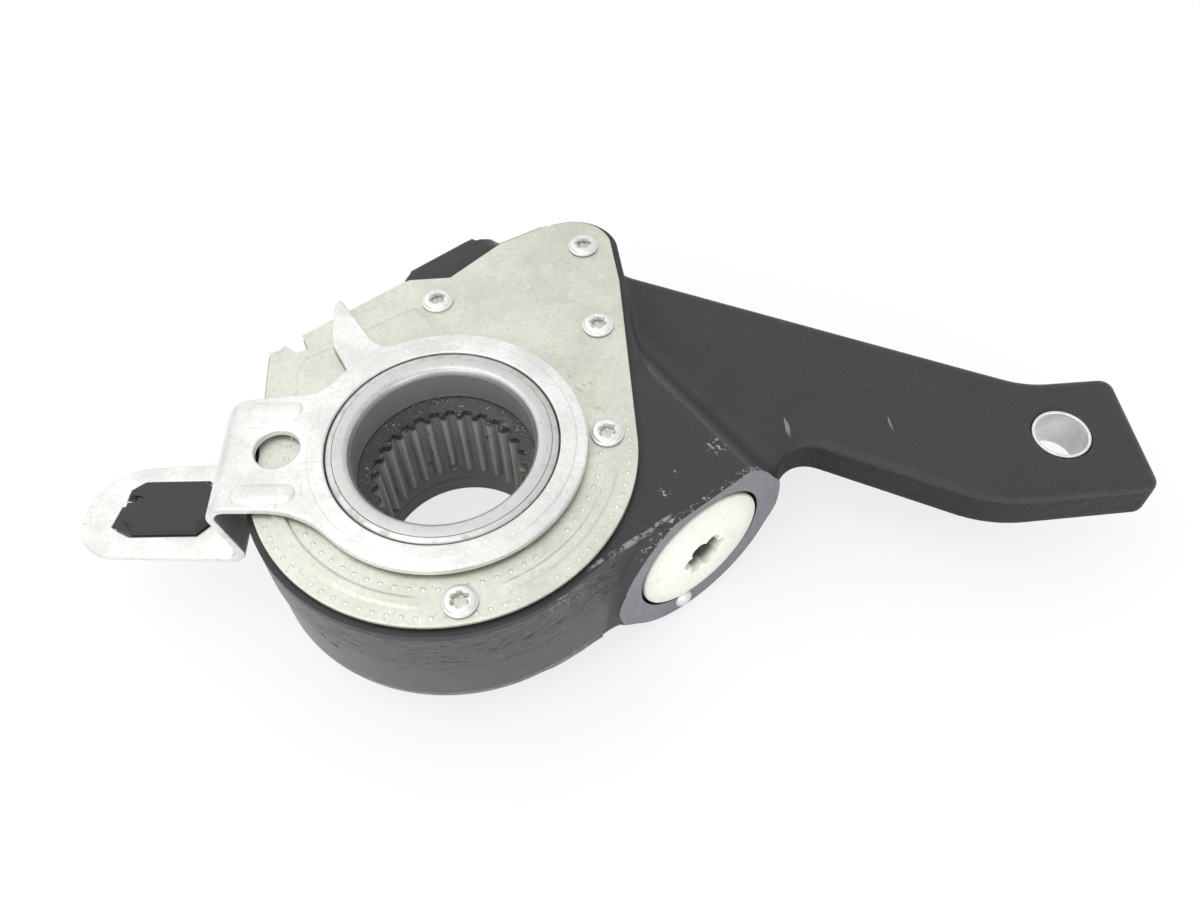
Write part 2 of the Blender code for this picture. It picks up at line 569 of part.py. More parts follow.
def make_housing():
    """The black cast lever: hub, worm boss, arm and the bores that take the works."""
    above = SEAT_Z + OVERCUT
    foot = HUB_BOTTOM_Z + HUB_FILLET
    wall = [(0, above), (HUB_R, above), (HUB_R + HUB_DRAFT, foot)]
    fillet = [(HUB_R + HUB_DRAFT - HUB_FILLET + x, foot + y) for x, y in arc((0, 0), HUB_FILLET, -22, -90, 3)]
    rear = [(REAR_BOSS_R + REAR_BOSS_SLOPE, HUB_BOTTOM_Z), (REAR_BOSS_R, REAR_BOSS_Z + EDGE),
            (REAR_BOSS_R - EDGE, REAR_BOSS_Z), (0, REAR_BOSS_Z)]
    housing = extruded("housing", [cover_outline(FLANGE_MARGIN)], ARM_LOW_Z, above + OVERCUT, finish=BLACK_PAINT)
    beyond = 2 * HUB_R
    lobe = [(-beyond, LOBE_EDGE[0][1]), *LOBE_EDGE, (-beyond, beyond)]
    cut(housing, extruded("lobe_space", [lobe], ARM_LOW_Z - OVERCUT, LOBE_LOW_Z, collection=helpers))
    hub = turned("hub", wall + fillet + rear, 48, collection=helpers)
    arm = extruded("arm_beam", [make_lever_outline()], ARM_LOW_Z, ARM_HIGH_Z, collection=helpers, soften=ARM_EDGE)
    boss = turned("worm_boss", [(0, BOSS_FACE), (BOSS_R, BOSS_FACE), (BOSS_R + BOSS_DRAFT, BOSS_STRAIGHT),
                                (BOSS_R - BOSS_BACK_SMALLER, -BOSS_BACK), (0, -BOSS_BACK)],
                  36, collection=helpers, frame=WORM_FRAME)
    tail = turned("worm_tail", [(0, 0), (TAIL_R + TAIL_DRAFT, 0), (TAIL_R, -TAIL_FACE + TAIL_EDGE),
                                (TAIL_R - TAIL_EDGE, -TAIL_FACE), (0, -TAIL_FACE)], 28, collection=helpers, frame=WORM_FRAME)
    join(housing, hub, arm, boss, tail)

    seat = turned("above_seat", [(0, SEAT_Z + HUB_R), (beyond, SEAT_Z + HUB_R), (beyond, SEAT_Z), (0, SEAT_Z)], 12,
                  collection=helpers)
    ring_room, cap_room, thread_room, drum_room = (CONTROL_RING_R + RING_ROOM, CAP_R + BORE_GAP,
                                                   CAP_THREAD_R + BORE_GAP, DRUM_R + BORE_GAP)
    wheel_room = turned("wheel_room", [
        (0, above), (ring_room, above), (ring_room, RECESS_Z), (WHEEL_CAVITY_R, RECESS_Z),
        (WHEEL_CAVITY_R, WHEEL_LOW_Z - ROOM_GAP), (NECK_R + BUSH_WALL, WHEEL_LOW_Z - ROOM_GAP),
        (NECK_R + BUSH_WALL, REAR_BOSS_Z - OVERCUT), (0, REAR_BOSS_Z - OVERCUT)], 40, collection=helpers)
    worm_room = turned("worm_room", [
        (0, BOSS_FACE + OVERCUT), (cap_room, BOSS_FACE + OVERCUT), (cap_room, BOSS_FACE - CAP_HEAD + BORE_GAP),
        (thread_room, BOSS_FACE - CAP_HEAD + BORE_GAP), (thread_room, CAP_FROM - 2 * GAP), (CHAMBER_R, CHAMBER[1]),
        (CHAMBER_R, CHAMBER[0]), (WORM_BORE_R, WORM_ROOM_TO), (WORM_BORE_R, WORM_ROOM_FROM), (drum_room, WORM_ROOM_FROM),
        (drum_room, JOURNAL_LAND[1]), (JOURNAL_R + FREE, JOURNAL_LAND[1]), (JOURNAL_R + FREE, JOURNAL_LAND[0]),
        (drum_room, JOURNAL_LAND[0]), (drum_room, -TAIL_FACE - OVERCUT), (0, -TAIL_FACE - OVERCUT)],
        32, collection=helpers, frame=WORM_FRAME)
    step = WORM_Z - CONTROL_WORM_HALF_LENGTH - FREE
    floor = WORM_Z - CONTROL_SHAFT_BELOW_WORM - FREE
    shaft_room = turned("shaft_room", [
        (0, above), (PINION_ROOM_R, above), (PINION_ROOM_R, RECESS_Z), (SHAFT_ROOM_R, RECESS_Z), (SHAFT_ROOM_R, step),
        (CONTROL_SHAFT_R + FREE, step), (CONTROL_SHAFT_R + FREE, floor), (0, floor)], 20, collection=helpers, frame=SHAFT_FRAME)
    eye = disc("clevis_eye", CLEVIS_BUSH_R + SEAT_GAP, ARM_LOW_Z - OVERCUT, ARM_HIGH_Z + OVERCUT, 28, collection=helpers,
               frame=Matrix.Translation((ARM_LENGTH, 0, 0)))
    pin_hole = disc("lock_pin_hole", LOCK_PIN_R + SEAT_GAP, BOSS_FACE - LOCK_PIN_IN - FREE, BOSS_FACE + OVERCUT, 12,
                    collection=helpers, frame=WORM_FRAME @ Matrix.Translation(LOCK_PIN_AT))
    holes = [disc(f"screw_hole_{number}", SCREW_R + GAP, COVER_TOP_Z - SCREW_LENGTH - 2 * GAP, above, 12,
                  collection=helpers, frame=Matrix.Translation((x, y, 0)))
             for number, (x, y) in enumerate(SCREW_PLACES, 1)]
    combine_all(housing, [seat, wheel_room, worm_room, shaft_room, eye, pin_hole] + holes, "DIFFERENCE")
    return housing


def make_hub_fittings():
    """Bushes and seal that carry the worm wheel, and the bush of the clevis eye."""
    outer = NECK_R + BUSH_WALL - GAP
    seal_top = CLIP_GROOVE[0] - SEAT_GAP
    ring("front_wheel_bush", NECK_R + GAP, WHEEL_CAVITY_R - GAP, WHEEL_HIGH_Z + FREE, RECESS_Z - FREE, 32, BRONZE)
    ring("rear_wheel_bush", NECK_R + GAP, outer, seal_top + FREE, WHEEL_LOW_Z - ROOM_GAP, 32, BRONZE)
    ring("rear_wheel_seal", NECK_R + GAP, outer, ROOM_GAP, seal_top, 32, RUBBER)
    chamfer, edge = FREE, BORE_GAP
    turned("clevis_bush", [(CLEVIS_BUSH_R - chamfer, ARM_HIGH_Z), (CLEVIS_BUSH_R, ARM_HIGH_Z - chamfer),
                           (CLEVIS_BUSH_R, ARM_LOW_Z + chamfer), (CLEVIS_BUSH_R - chamfer, ARM_LOW_Z),
                           (CLEVIS_HOLE_R + edge, ARM_LOW_Z), (CLEVIS_HOLE_R, ARM_LOW_Z + edge),
                           (CLEVIS_HOLE_R, ARM_HIGH_Z - edge), (CLEVIS_HOLE_R + edge, ARM_HIGH_Z)],
           28, BRIGHT_ZINC, closed=True, frame=Matrix.Translation((ARM_LENGTH, 0, 0)))


def make_worm_wheel():
    """Worm wheel with a long neck at both ends and the spline bore that slides on the camshaft."""
    neck = [(0, HUB_LENGTH), (NECK_R - NECK_EDGE, HUB_LENGTH), (NECK_R, HUB_LENGTH - NECK_EDGE), (NECK_R, NECK_EDGE),
            (NECK_R - NECK_EDGE, 0), (0, 0)]
    wheel = turned("worm_wheel", neck, 44, STEEL, frame=WHEEL_FRAME)
    half_pitch = math.pi / WHEEL_TEETH
    outline = gear_outline(WHEEL_TEETH, WHEEL_PITCH_R, WHEEL_ROOT_R, WHEEL_TIP_R, MAIN_PRESSURE, turn=half_pitch)
    twist = WORM_LEAD / (2 * math.pi * WORM_PITCH_R) / WHEEL_PITCH_R
    teeth = helical_gear("wheel_teeth", outline, WHEEL_LOW_Z, WHEEL_HIGH_Z, twist, 1, collection=helpers,
                         frame=WHEEL_FRAME)
    ledge = SPLINE_HIGH_Z + RIM_CHAMFER + SEAT_GAP
    bore = turned("wheel_bore", [
        (0, HUB_LENGTH + OVERCUT), (COUNTERBORE_R + RIM_CHAMFER + OVERCUT, HUB_LENGTH + OVERCUT),
        (COUNTERBORE_R, HUB_LENGTH - RIM_CHAMFER), (COUNTERBORE_R, ledge), (SPLINE_CREST_R - FREE, SPLINE_HIGH_Z - EDGE),
        (0, SPLINE_HIGH_Z - EDGE)], 44, collection=helpers)
    low_r, groove_r = LOW_COUNTERBORE_R, LOW_COUNTERBORE_R + CLIP_GROOVE_DEPTH
    low_bore = turned("wheel_low_bore", [
        (0, SPLINE_LOW_Z), (low_r - 2 * EDGE, SPLINE_LOW_Z), (low_r, SPLINE_LOW_Z - EDGE), (low_r, CLIP_GROOVE[1] + SEAT_GAP),
        (groove_r, CLIP_GROOVE[1]), (groove_r, CLIP_GROOVE[0]), (low_r, CLIP_GROOVE[0] - SEAT_GAP),
        (low_r + SEAT_GAP, -OVERCUT), (0, -OVERCUT)], 32, collection=helpers)
    spline = extruded("wheel_spline", [spline_outline()], SPLINE_LOW_Z - 2 * OVERCUT, SPLINE_HIGH_Z + 3 * OVERCUT,
                      collection=helpers)
    join(wheel, teeth)
    cut(wheel, bore, low_bore, spline)
    return wheel


def spline_outline():
    """The bore of the spline: flat grooves between rounded teeth that point at the axis."""
    outline = []
    pitch = 2 * math.pi / SPLINE_TEETH
    for k in range(SPLINE_TEETH):
        for radius, share in ((SPLINE_CREST_R, 0.31), (SPLINE_CREST_R, 0.43), (SPLINE_ROOT_R, 0.70),
                              (SPLINE_ROOT_R, 1.04)):
            angle = (k + share) * pitch
            outline.append((radius * math.cos(angle), radius * math.sin(angle)))
    return outline


def make_worm_set():
    """Worm shaft with its hex end, and what it carries: clutch sleeve, bearing, spring and seat."""
    end = -TAIL_FACE + TAIL_EDGE
    journal = [(0, WORM_NOSE[1]), (WORM_NOSE_R, WORM_NOSE[1]), (WORM_NOSE_R, WORM_NOSE[0]), (WORM_ROOT_R, WORM_NOSE[0]),
               (WORM_ROOT_R, JOURNAL_FROM), (JOURNAL_R, JOURNAL_FROM), (JOURNAL_R, end),
               (0.77 * JOURNAL_R, end - BORE_GAP), (0, end - BORE_GAP)]
    worm = turned("worm_shaft", journal, 24, STEEL, frame=WORM_FRAME)
    spiral = thread("worm_thread", WORM_ROOT_R, WORM_TIP_R, WORM_LEAD, WORM_HALF_LENGTH - THREAD_SHORT, MAIN_PRESSURE,
                    per_turn=14, frame=WORM_FRAME)
    hexagon = extruded("hex_end", [arc((0, 0), HEX_FLATS / math.sqrt(3), 0, 300, 5)],
                       -TAIL_FACE - HEX_STANDS_OUT, end + FREE, collection=helpers, frame=WORM_FRAME)
    join(worm, spiral, hexagon)

    bore = JOURNAL_R + GAP
    turned("clutch_sleeve", [(DRUM_R, SLEEVE[1]), (DRUM_R, DRUM_EDGES[1]), (SLEEVE_R, DRUM_EDGES[1]), (SLEEVE_R, SLEEVE[0]),
                             (bore, SLEEVE[0]), (bore, SLEEVE[1])], 24, DARK_STEEL, closed=True, frame=WORM_FRAME)
    ring("thrust_bearing", WORM_NOSE_R + GAP, BEARING_R, *BEARING, 24, STEEL, frame=WORM_FRAME)
    spigot, pad, flange = SEAT_RADII
    turned("spring_seat", [(0, SEAT_ENDS[1]), (spigot - EDGE, SEAT_ENDS[1]), (spigot, SEAT_ENDS[1] - EDGE),
                           (spigot, SEAT_RIM[1]), (flange, SEAT_RIM[1]), (flange, SEAT_RIM[0]), (pad, SEAT_RIM[0]),
                           (pad, SEAT_ENDS[0]), (0, SEAT_ENDS[0])], 24, DARK_STEEL, frame=WORM_FRAME)
    coil("thrust_spring", THRUST_SPRING_R, THRUST_WIRE_R, *THRUST_SPRING, THRUST_TURNS, 12, SPRING_STEEL)
    outer = DRUM_R + BORE_GAP - GAP
    ring("tail_bush", bore, outer, JOURNAL_LAND[1] + FREE, WORM_ROOM_FROM - FREE, 24, BRONZE, frame=WORM_FRAME)
    ring("tail_seal", bore, outer, end + ROOM_GAP, JOURNAL_LAND[0] - FREE, 24, RUBBER, frame=WORM_FRAME)


def coil(name, radius, wire, low, high, turns, per_turn, finish):
    """A round-wire spring about the worm axis, with its wire's centre from low to high."""
    count = int(turns * per_turn)
    curve = bpy.data.curves.new(name, "CURVE")
    curve.dimensions = "3D"
    curve.bevel_depth = wire
    curve.bevel_resolution = 2
    curve.use_fill_caps = True
    line = curve.splines.new("POLY")
    line.points.add(count)
    for k, point in enumerate(line.points):
        turn = 2 * math.pi * k / per_turn
        point.co = (radius * math.cos(turn), radius * math.sin(turn), low + (high - low) * k / count, 1)
    drawn = bpy.data.objects.new(name + "_line", curve)
    helpers.objects.link(drawn)
    bpy.context.view_layer.update()
    solid = bpy.data.meshes.new_from_object(drawn.evaluated_get(bpy.context.evaluated_depsgraph_get()))
    bpy.data.objects.remove(drawn, do_unlink=True)
    bpy.data.curves.remove(curve)
    mesh = bmesh.new()
    mesh.from_mesh(solid)
    bpy.data.meshes.remove(solid)
    bmesh.ops.remove_doubles(mesh, verts=mesh.verts, dist=0.000002)
    bmesh.ops.recalc_face_normals(mesh, faces=mesh.faces)
    thing = from_bmesh(name, mesh)
    thing.matrix_world = WORM_FRAME
    return keep(thing, finish)


def make_control_train():
    """Ring gear of the control arm, its pinion with the control worm, and the wheel they turn."""
    ring_teeth, pinion_teeth = CONTROL_RATIO_TEETH
    towards = math.atan2(CONTROL_SHAFT.y, CONTROL_SHAFT.x)
    root, tip = CONTROL_RING_R - 1.05 * CONTROL_MODULE, CONTROL_RING_R + CONTROL_TOOTH
    outline = gear_outline(ring_teeth, CONTROL_RING_R, root, tip, CONTROL_PRESSURE, turn=towards, stride=2)
    gear = loft("control_ring", [[(x, y, z) for x, y in outline] for z in CONTROL_GEAR_Z], STEEL)
    join(gear, disc("control_collar", COLLAR_R + COLLAR_WALL, CONTROL_GEAR_Z[0] + EDGE, ARM_TOP_Z, 44, collection=helpers))
    cut(gear, disc("control_bore", COLLAR_R, CONTROL_GEAR_Z[0] - OVERCUT, ARM_TOP_Z + OVERCUT, 44, collection=helpers))

    low, half, top = WORM_Z - CONTROL_SHAFT_BELOW_WORM, CONTROL_WORM_HALF_LENGTH, CONTROL_GEAR_Z[1] + BORE_GAP
    shaft = turned("control_worm_shaft", [
        (0, top), (CONTROL_SHAFT_R, top), (CONTROL_SHAFT_R, WORM_Z + half + SEAT_GAP), (CONTROL_WORM_ROOT_R, WORM_Z + half),
        (CONTROL_WORM_ROOT_R, WORM_Z - half), (CONTROL_SHAFT_R, WORM_Z - half - SEAT_GAP), (CONTROL_SHAFT_R, low), (0, low)],
        20, STEEL, frame=SHAFT_FRAME)
    root, tip = CONTROL_PINION_R - 1.05 * CONTROL_MODULE, CONTROL_PINION_R + CONTROL_TOOTH
    facing = towards + math.pi - ACROSS_ANGLE + math.pi / pinion_teeth
    outline = gear_outline(pinion_teeth, CONTROL_PINION_R, root, tip, CONTROL_PRESSURE, turn=facing, stride=2)
    pinion = loft("control_pinion", [[(x, y, z) for x, y in outline] for z in CONTROL_GEAR_Z], None, helpers,
                  SHAFT_FRAME)
    spiral = thread("control_thread", CONTROL_WORM_ROOT_R, CONTROL_WORM_TIP_R, CONTROL_LEAD,
                    CONTROL_WORM_HALF_LENGTH - CONTROL_THREAD_SHORT, MAIN_PRESSURE, WORM_Z, per_turn=10, frame=SHAFT_FRAME)
    join(shaft, pinion, spiral)
    ring("control_shaft_bush", CONTROL_SHAFT_R + GAP, SHAFT_ROOM_R - GAP, WORM_Z + half + TIP_GAP, RECESS_Z - BORE_GAP,
         20, BRONZE, frame=SHAFT_FRAME)

    half_pitch = math.pi / CONTROL_WHEEL_TEETH
    root = CONTROL_WHEEL_PITCH_R - CONTROL_DEDENDUM
    outline = gear_outline(CONTROL_WHEEL_TEETH, CONTROL_WHEEL_PITCH_R, root, CONTROL_WHEEL_PITCH_R + CONTROL_ADDENDUM,
                           MAIN_PRESSURE, turn=half_pitch)
    twist = CONTROL_LEAD / (2 * math.pi * CONTROL_WORM_PITCH_R) / CONTROL_WHEEL_PITCH_R
    low = CONTROL_WHEEL_AT - CONTROL_WHEEL_FACE / 2
    high = CONTROL_WHEEL_AT + CONTROL_WHEEL_FACE / 2
    wheel = helical_gear("control_worm_wheel", outline, low, high, twist, 1, DARK_STEEL, frame=WORM_FRAME)
    join(wheel, disc("clutch_drum", DRUM_R, high - EDGE, DRUM_EDGES[0], 32, collection=helpers, frame=WORM_FRAME))
    cut(wheel, disc("control_wheel_bore", SLEEVE_R + GAP, low - OVERCUT, DRUM_EDGES[0] + OVERCUT, 32, collection=helpers,
                    frame=WORM_FRAME))
    wrap_spring()


def wrap_spring():
    """Square-wire spring of the one-way clutch, wound over the wheel's drum and the sleeve's drum."""
    start, wide, pitch, thick = WRAP_SPRING
    inner, outer, per_turn = DRUM_R + GAP, DRUM_R + thick, 15
    rings = []
    for k in range(WRAP_TURNS * per_turn + 1):
        turn = 2 * math.pi * k / per_turn
        height = start + pitch * k / per_turn
        rows = ((inner, height), (outer, height), (outer, height + wide), (inner, height + wide))
        rings.append([(r * math.cos(turn), r * math.sin(turn), h) for r, h in rows][::-1])
    return loft("one_way_spring", rings, SPRING_STEEL, frame=WORM_FRAME)


def make_end_cap():
    """Threaded end cap with its star recess, its seal and the pin that locks it."""
    face, under, neck = BOSS_FACE + CAP_STANDS_OUT, BOSS_FACE - CAP_HEAD + NECK_EDGE, CAP_THREAD_R - CAP_GROOVE_DEPTH
    cap = turned("end_cap", [
        (0, face), (CAP_R - NECK_EDGE, face), (CAP_R, face - NECK_EDGE), (CAP_R, under), (CAP_THREAD_R, under),
        (CAP_THREAD_R, CAP_GROOVE[1]), (neck, CAP_GROOVE[1]), (neck, CAP_GROOVE[0]), (CAP_THREAD_R, CAP_GROOVE[0]),
        (CAP_THREAD_R, CAP_FROM), (0, CAP_FROM)], 36, ZINC, frame=WORM_FRAME)
    cut(cap, extruded("cap_star", [star_outline(CAP_RECESS_R)], BOSS_FACE - CAP_RECESS_DEPTH, face + OVERCUT,
                      collection=helpers, frame=WORM_FRAME))
    round_section = arc((CAP_THREAD_R - NECK_EDGE, sum(CAP_GROOVE) / 2), CAP_SEAL_R, 90, -270, 6)[:-1]
    turned("end_cap_seal", round_section, 24, RUBBER, closed=True, frame=WORM_FRAME)
    turned("lock_pin", [(0, LOCK_PIN_OUT), (0.6 * LOCK_PIN_R, 0.93 * LOCK_PIN_OUT), (LOCK_PIN_R, LOCK_PIN_OUT / 2),
                        (LOCK_PIN_R, -LOCK_PIN_IN), (0, -LOCK_PIN_IN)], 12, BRIGHT_ZINC,
           frame=WORM_FRAME @ Matrix.Translation(Vector(LOCK_PIN_AT) + Vector((0, 0, BOSS_FACE))))


def star_outline(radius):
    """A six-lobed driver recess."""
    outline = []
    for k in range(12):
        reach = radius * (1.0, 0.74)[k % 2]
        angle = 2 * math.pi * k / 12
        outline.append((reach * math.cos(angle), reach * math.sin(angle)))
    return outline


def make_cover():
    """Pressed cover, its gasket and the five star-recess screws."""
    hole = arc((0, 0), COLLAR_R + COLLAR_WALL + ROOM_GAP + SEAT_GAP, 0, 360, 44)[:-1]
    cover = extruded("cover_plate", [cover_outline()], COVER_Z, COVER_TOP_Z, finish=ZINC)
    step_top = COVER_TOP_Z + COVER_STEP
    plateau = extruded("cover_plateau", [step_outline(0)], COVER_Z + COVER_STEP_EDGE, step_top, collection=helpers,
                       soften=COVER_STEP_EDGE)
    hollow = extruded("cover_hollow", [step_outline(1.2 * COVER_SHEET)], COVER_Z - OVERCUT, COVER_Z + COVER_STEP,
                      collection=helpers)
    opening = extruded("cover_opening", [hole], COVER_Z - OVERCUT, step_top + OVERCUT, collection=helpers)
    join(cover, plateau)
    cut(cover, hollow, opening)
    window = arc((0, 0), CONTROL_RING_R + RING_ROOM, 0, 360, 28)[:-1]
    gasket = extruded("cover_gasket", [cover_outline(-BORE_GAP, 16)], GASKET_Z, GASKET_Z + GASKET, finish=GASKET_PAPER)
    cut(gasket, extruded("gasket_window", [window], GASKET_Z - OVERCUT, GASKET_Z + 2 * OVERCUT, collection=helpers),
        disc("gasket_pocket", PINION_ROOM_R, GASKET_Z - OVERCUT, GASKET_Z + 2 * OVERCUT,
             20, collection=helpers, frame=SHAFT_FRAME))

    star = extruded("screw_star", [star_outline(SCREW_RECESS_R)], SCREW_HEAD_HEIGHT - SCREW_RECESS_DEPTH, SCREW_HEAD_HEIGHT + OVERCUT,
                    collection=helpers)
    pan = [(0, SCREW_HEAD_HEIGHT), (SCREW_CROWN[0], SCREW_HEAD_HEIGHT), (SCREW_CROWN[1], SCREW_HEAD_HEIGHT - SCREW_CROWN_DROP),
           (SCREW_HEAD_R, SCREW_HEAD_HEIGHT / 2), (SCREW_HEAD_R, 0), (SCREW_R, 0), (SCREW_R, -SCREW_LENGTH + EDGE),
           (SCREW_R - NECK_EDGE, -SCREW_LENGTH), (0, -SCREW_LENGTH)]
    for number, (x, y) in enumerate(SCREW_PLACES, 1):
        hole = disc(f"cover_hole_{number}", SCREW_R + GAP, COVER_Z - 2 * OVERCUT, step_top + OVERCUT, 12,
                    collection=helpers, frame=Matrix.Translation((x, y, 0)))
        cut(cover, hole)
        cut(gasket, hole)
        place = Matrix.Translation((x, y, COVER_TOP_Z + SEAT_GAP / 2)) @ Matrix.Rotation(number * 0.9, 4, "Z")
        screw = turned(f"cover_screw_{number}", pan, 16, BRIGHT_ZINC, frame=place)
        socket = star.copy()
        helpers.objects.link(socket)
        socket.name = f"screw_star_{number}"
        socket.matrix_world = place
        cut(screw, socket)


def step_outline(inset):
    """Outline of the raised middle of the cover, which leaves a flat land round each screw."""
    circle = COVER_STEP_R - inset
    land = SCREW_LAND_R + inset
    (left, low), (_, high), (crest_x, crest_y) = COVER_STEP_LEFT
    outline = arc((0, 0), circle, -14, -70, 8)
    outline += arc(SCREW_PLACES[3], land, 12, 168, 6)
    outline += arc((0, 0), circle, -99, -205, 14)
    outline += [(left + inset, low), (left + inset, high - inset), (crest_x, crest_y - inset)]
    outline += arc(SCREW_PLACES[4], land, 200, 340, 6)
    outline += [(x, y - inset) for x, y in COVER_STEP_TIP]
    outline += arc(SCREW_PLACES[1], land, 120, 240, 6)
    outline += arc(SCREW_PLACES[2], land, 120, 240, 6)
    return outline


def make_control_arm():
    """Sheet-metal control arm: ring, bracket with ribs and hole, down-turned tab and wear pointer."""
    low = ARM_TOP_Z - SHEET
    arm = folded_sheet()
    for side in (-1, 1):
        rib = rounded([(along, across * RIB_HALF_WIDTH, RIB_CORNER) for along, across in
                       ((RIB[0], -1), (RIB[1], -1), (RIB[1], 1), (RIB[0], 1))], 4)
        place = BRACKET_FRAME @ Matrix.Translation((0, side * RIB_ASIDE + RIB_AXIS, 0))
        join(arm, extruded(f"arm_rib_{side + 2}", [rib], ARM_TOP_Z - SHEET / 4, ARM_TOP_Z + RIB_HEIGHT,
                           collection=helpers, frame=place))
    centre = arc((0, 0), RING_HOLE_R, 0, 360, 48)[:-1]
    slot = insert_outline(SEAT_GAP)
    cut(arm, extruded("arm_ring_hole", [centre], low - OVERCUT, ARM_TOP_Z + OVERCUT, collection=helpers),
        disc("arm_hole", ARM_HOLE_R, low - OVERCUT, ARM_TOP_Z + 2 * OVERCUT, 28, collection=helpers,
             frame=BRACKET_FRAME @ Matrix.Translation((ARM_HOLE_AT, ARM_HOLE_ASIDE, 0))),
        extruded("arm_slot", [slot], TAB_TOP_Z - SHEET - OVERCUT, TAB_TOP_Z + OVERCUT, collection=helpers,
                 frame=BRACKET_FRAME))
    insert = extruded("slot_insert", [insert_outline(0)], TAB_TOP_Z - SHEET - INSERT_EDGE,
                      TAB_TOP_Z + INSERT_STANDS_OUT, finish=PLASTIC, frame=BRACKET_FRAME, soften=INSERT_EDGE)
    section = arc((COLLAR_R + COLLAR_WALL + 2 * GAP, COVER_TOP_Z - SEAT_GAP / 2), RING_SEAL_R, 90, -270, 5)[:-1]
    turned("control_arm_seal", section, 32, RUBBER, closed=True)
    return arm, insert


def folded_sheet():
    """The arm's sheet: ring, wear pointer and bracket in one face, with the wall and tab folded down from it."""
    turn = Matrix.Rotation(BRACKET_ANGLE, 2)
    wide, tab = BRACKET_HALF_WIDTH, TAB_HALF_WIDTH
    outline = arc((0, 0), RING_R, -137, 112, 40) + list(POINTER) + arc((0, 0), RING_R, 133, 143, 2)
    outline.append(tuple(turn @ Vector((BRACKET_ROOT[0][0], BRACKET_AXIS - wide - BRACKET_ROOT[0][1]))))
    tail = [tuple(turn @ Vector((along, BRACKET_AXIS + wide + more))) for along, more in BRACKET_ROOT[1:]]
    fold = arc((WALL_AT - BEND_R - SHEET, ARM_TOP_Z - BEND_R - SHEET), BEND_R + SHEET, 90, WALL_DRAFT, 4)
    fold += arc((WALL_AT - WALL_LEAN + BEND_R, TAB_TOP_Z + BEND_R), BEND_R, 180 + WALL_DRAFT, 270, 4)
    corner = TAB_CORNER
    ends = [(TAB_END - corner * (1 - math.sin(a)), TAB_TOP_Z) for a in np.linspace(0, math.pi / 2 * 0.97, 5)]
    mesh = bmesh.new()
    rows = []
    for number, (along, height) in enumerate(fold + ends):
        share = min(1, max(0, (ARM_TOP_Z - height) / (ARM_TOP_Z - TAB_TOP_Z)))
        half = wide + (tab - wide) * share
        taper = max(0, along - WALL_AT) * TAB_TAPER
        short = corner * (1 - math.sqrt(max(0, 1 - max(0, (along - TAB_END) / corner + 1)**2)))
        pair = [(along, BRACKET_AXIS - half + taper + short), (along, BRACKET_AXIS + half - taper - short)]
        rows.append([mesh.verts.new((*(turn @ Vector(point)), height)) for point in pair])
    for (a, b), (c, d) in zip(rows, rows[1:]):
        mesh.faces.new((b, a, c, d))
    flat = [mesh.verts.new((x, y, ARM_TOP_Z)) for x, y in outline]
    mesh.faces.new(flat + rows[0] + [mesh.verts.new((x, y, ARM_TOP_Z)) for x, y in tail])
    mesh.normal_update()
    sheet = from_bmesh("control_arm", mesh)
    wall = sheet.modifiers.new("sheet", "SOLIDIFY")
    wall.thickness = SHEET
    wall.offset = -1
    wall.use_even_offset = True
    return keep(sheet, BRIGHT_ZINC)


def insert_outline(grow):
    """Eight-sided outline of the plastic slot insert."""
    length, width, corner = INSERT_HALF_LENGTH + grow, INSERT_HALF_WIDTH + grow, INSERT_CORNER
    cx, cy = INSERT_AT, INSERT_ASIDE
    quarter = [(length, width - corner), (length - corner, width)]
    points = quarter + [(-x, y) for x, y in quarter[::-1]]
    points += [(-x, -y) for x, y in points]
    return [(cx + x, cy + y) for x, y in points]


def stand_on_origin():
    """Moves every piece so that the middle of the object's base is the origin."""
    bpy.context.view_layer.update()
    graph = bpy.context.evaluated_depsgraph_get()
    points = np.array([piece.matrix_world @ vertex.co for piece in parts.objects
                       for vertex in piece.evaluated_get(graph).data.vertices])
    low, high = points.min(axis=0), points.max(axis=0)
    shift = Matrix.Translation((-(low[0] + high[0]) / 2, -(low[1] + high[1]) / 2, -low[2]))
    for thing in list(parts.objects) + list(helpers.objects):
        thing.matrix_world = shift @ thing.matrix_world
    return shift.translation


make_housing()
make_hub_fittings()
make_worm_wheel()
make_worm_set()
make_control_train()
make_end_cap()
make_cover()
make_control_arm()
bore = stand_on_origin()
print("bore axis at x %.5f y %.5f, raised %.5f" % tuple(bore))
print("worm axis through x %.5f y %.5f" % tuple((FOOT + bore)[:2]))
print("control shaft at x %.5f y %.5f" % tuple((CONTROL_SHAFT + bore)[:2]))
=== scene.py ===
# %% [markdown]
# # A brake slack adjuster, dressed for a studio photograph
# The lever sits between a brake chamber's push rod and a cam shaft. The solids that carry the motion are
# loaded as a fixed frame. This script gives every visible piece its fine shape and its finish. Lengths in the
# helpers below are millimetres measured from the bore's axis, with z counted up from the floor, because those
# are the numbers one reads off a drawing.

# %% Load the frame
import json
import math

import bmesh
import bpy
import numpy as np
from mathutils import Matrix, Vector


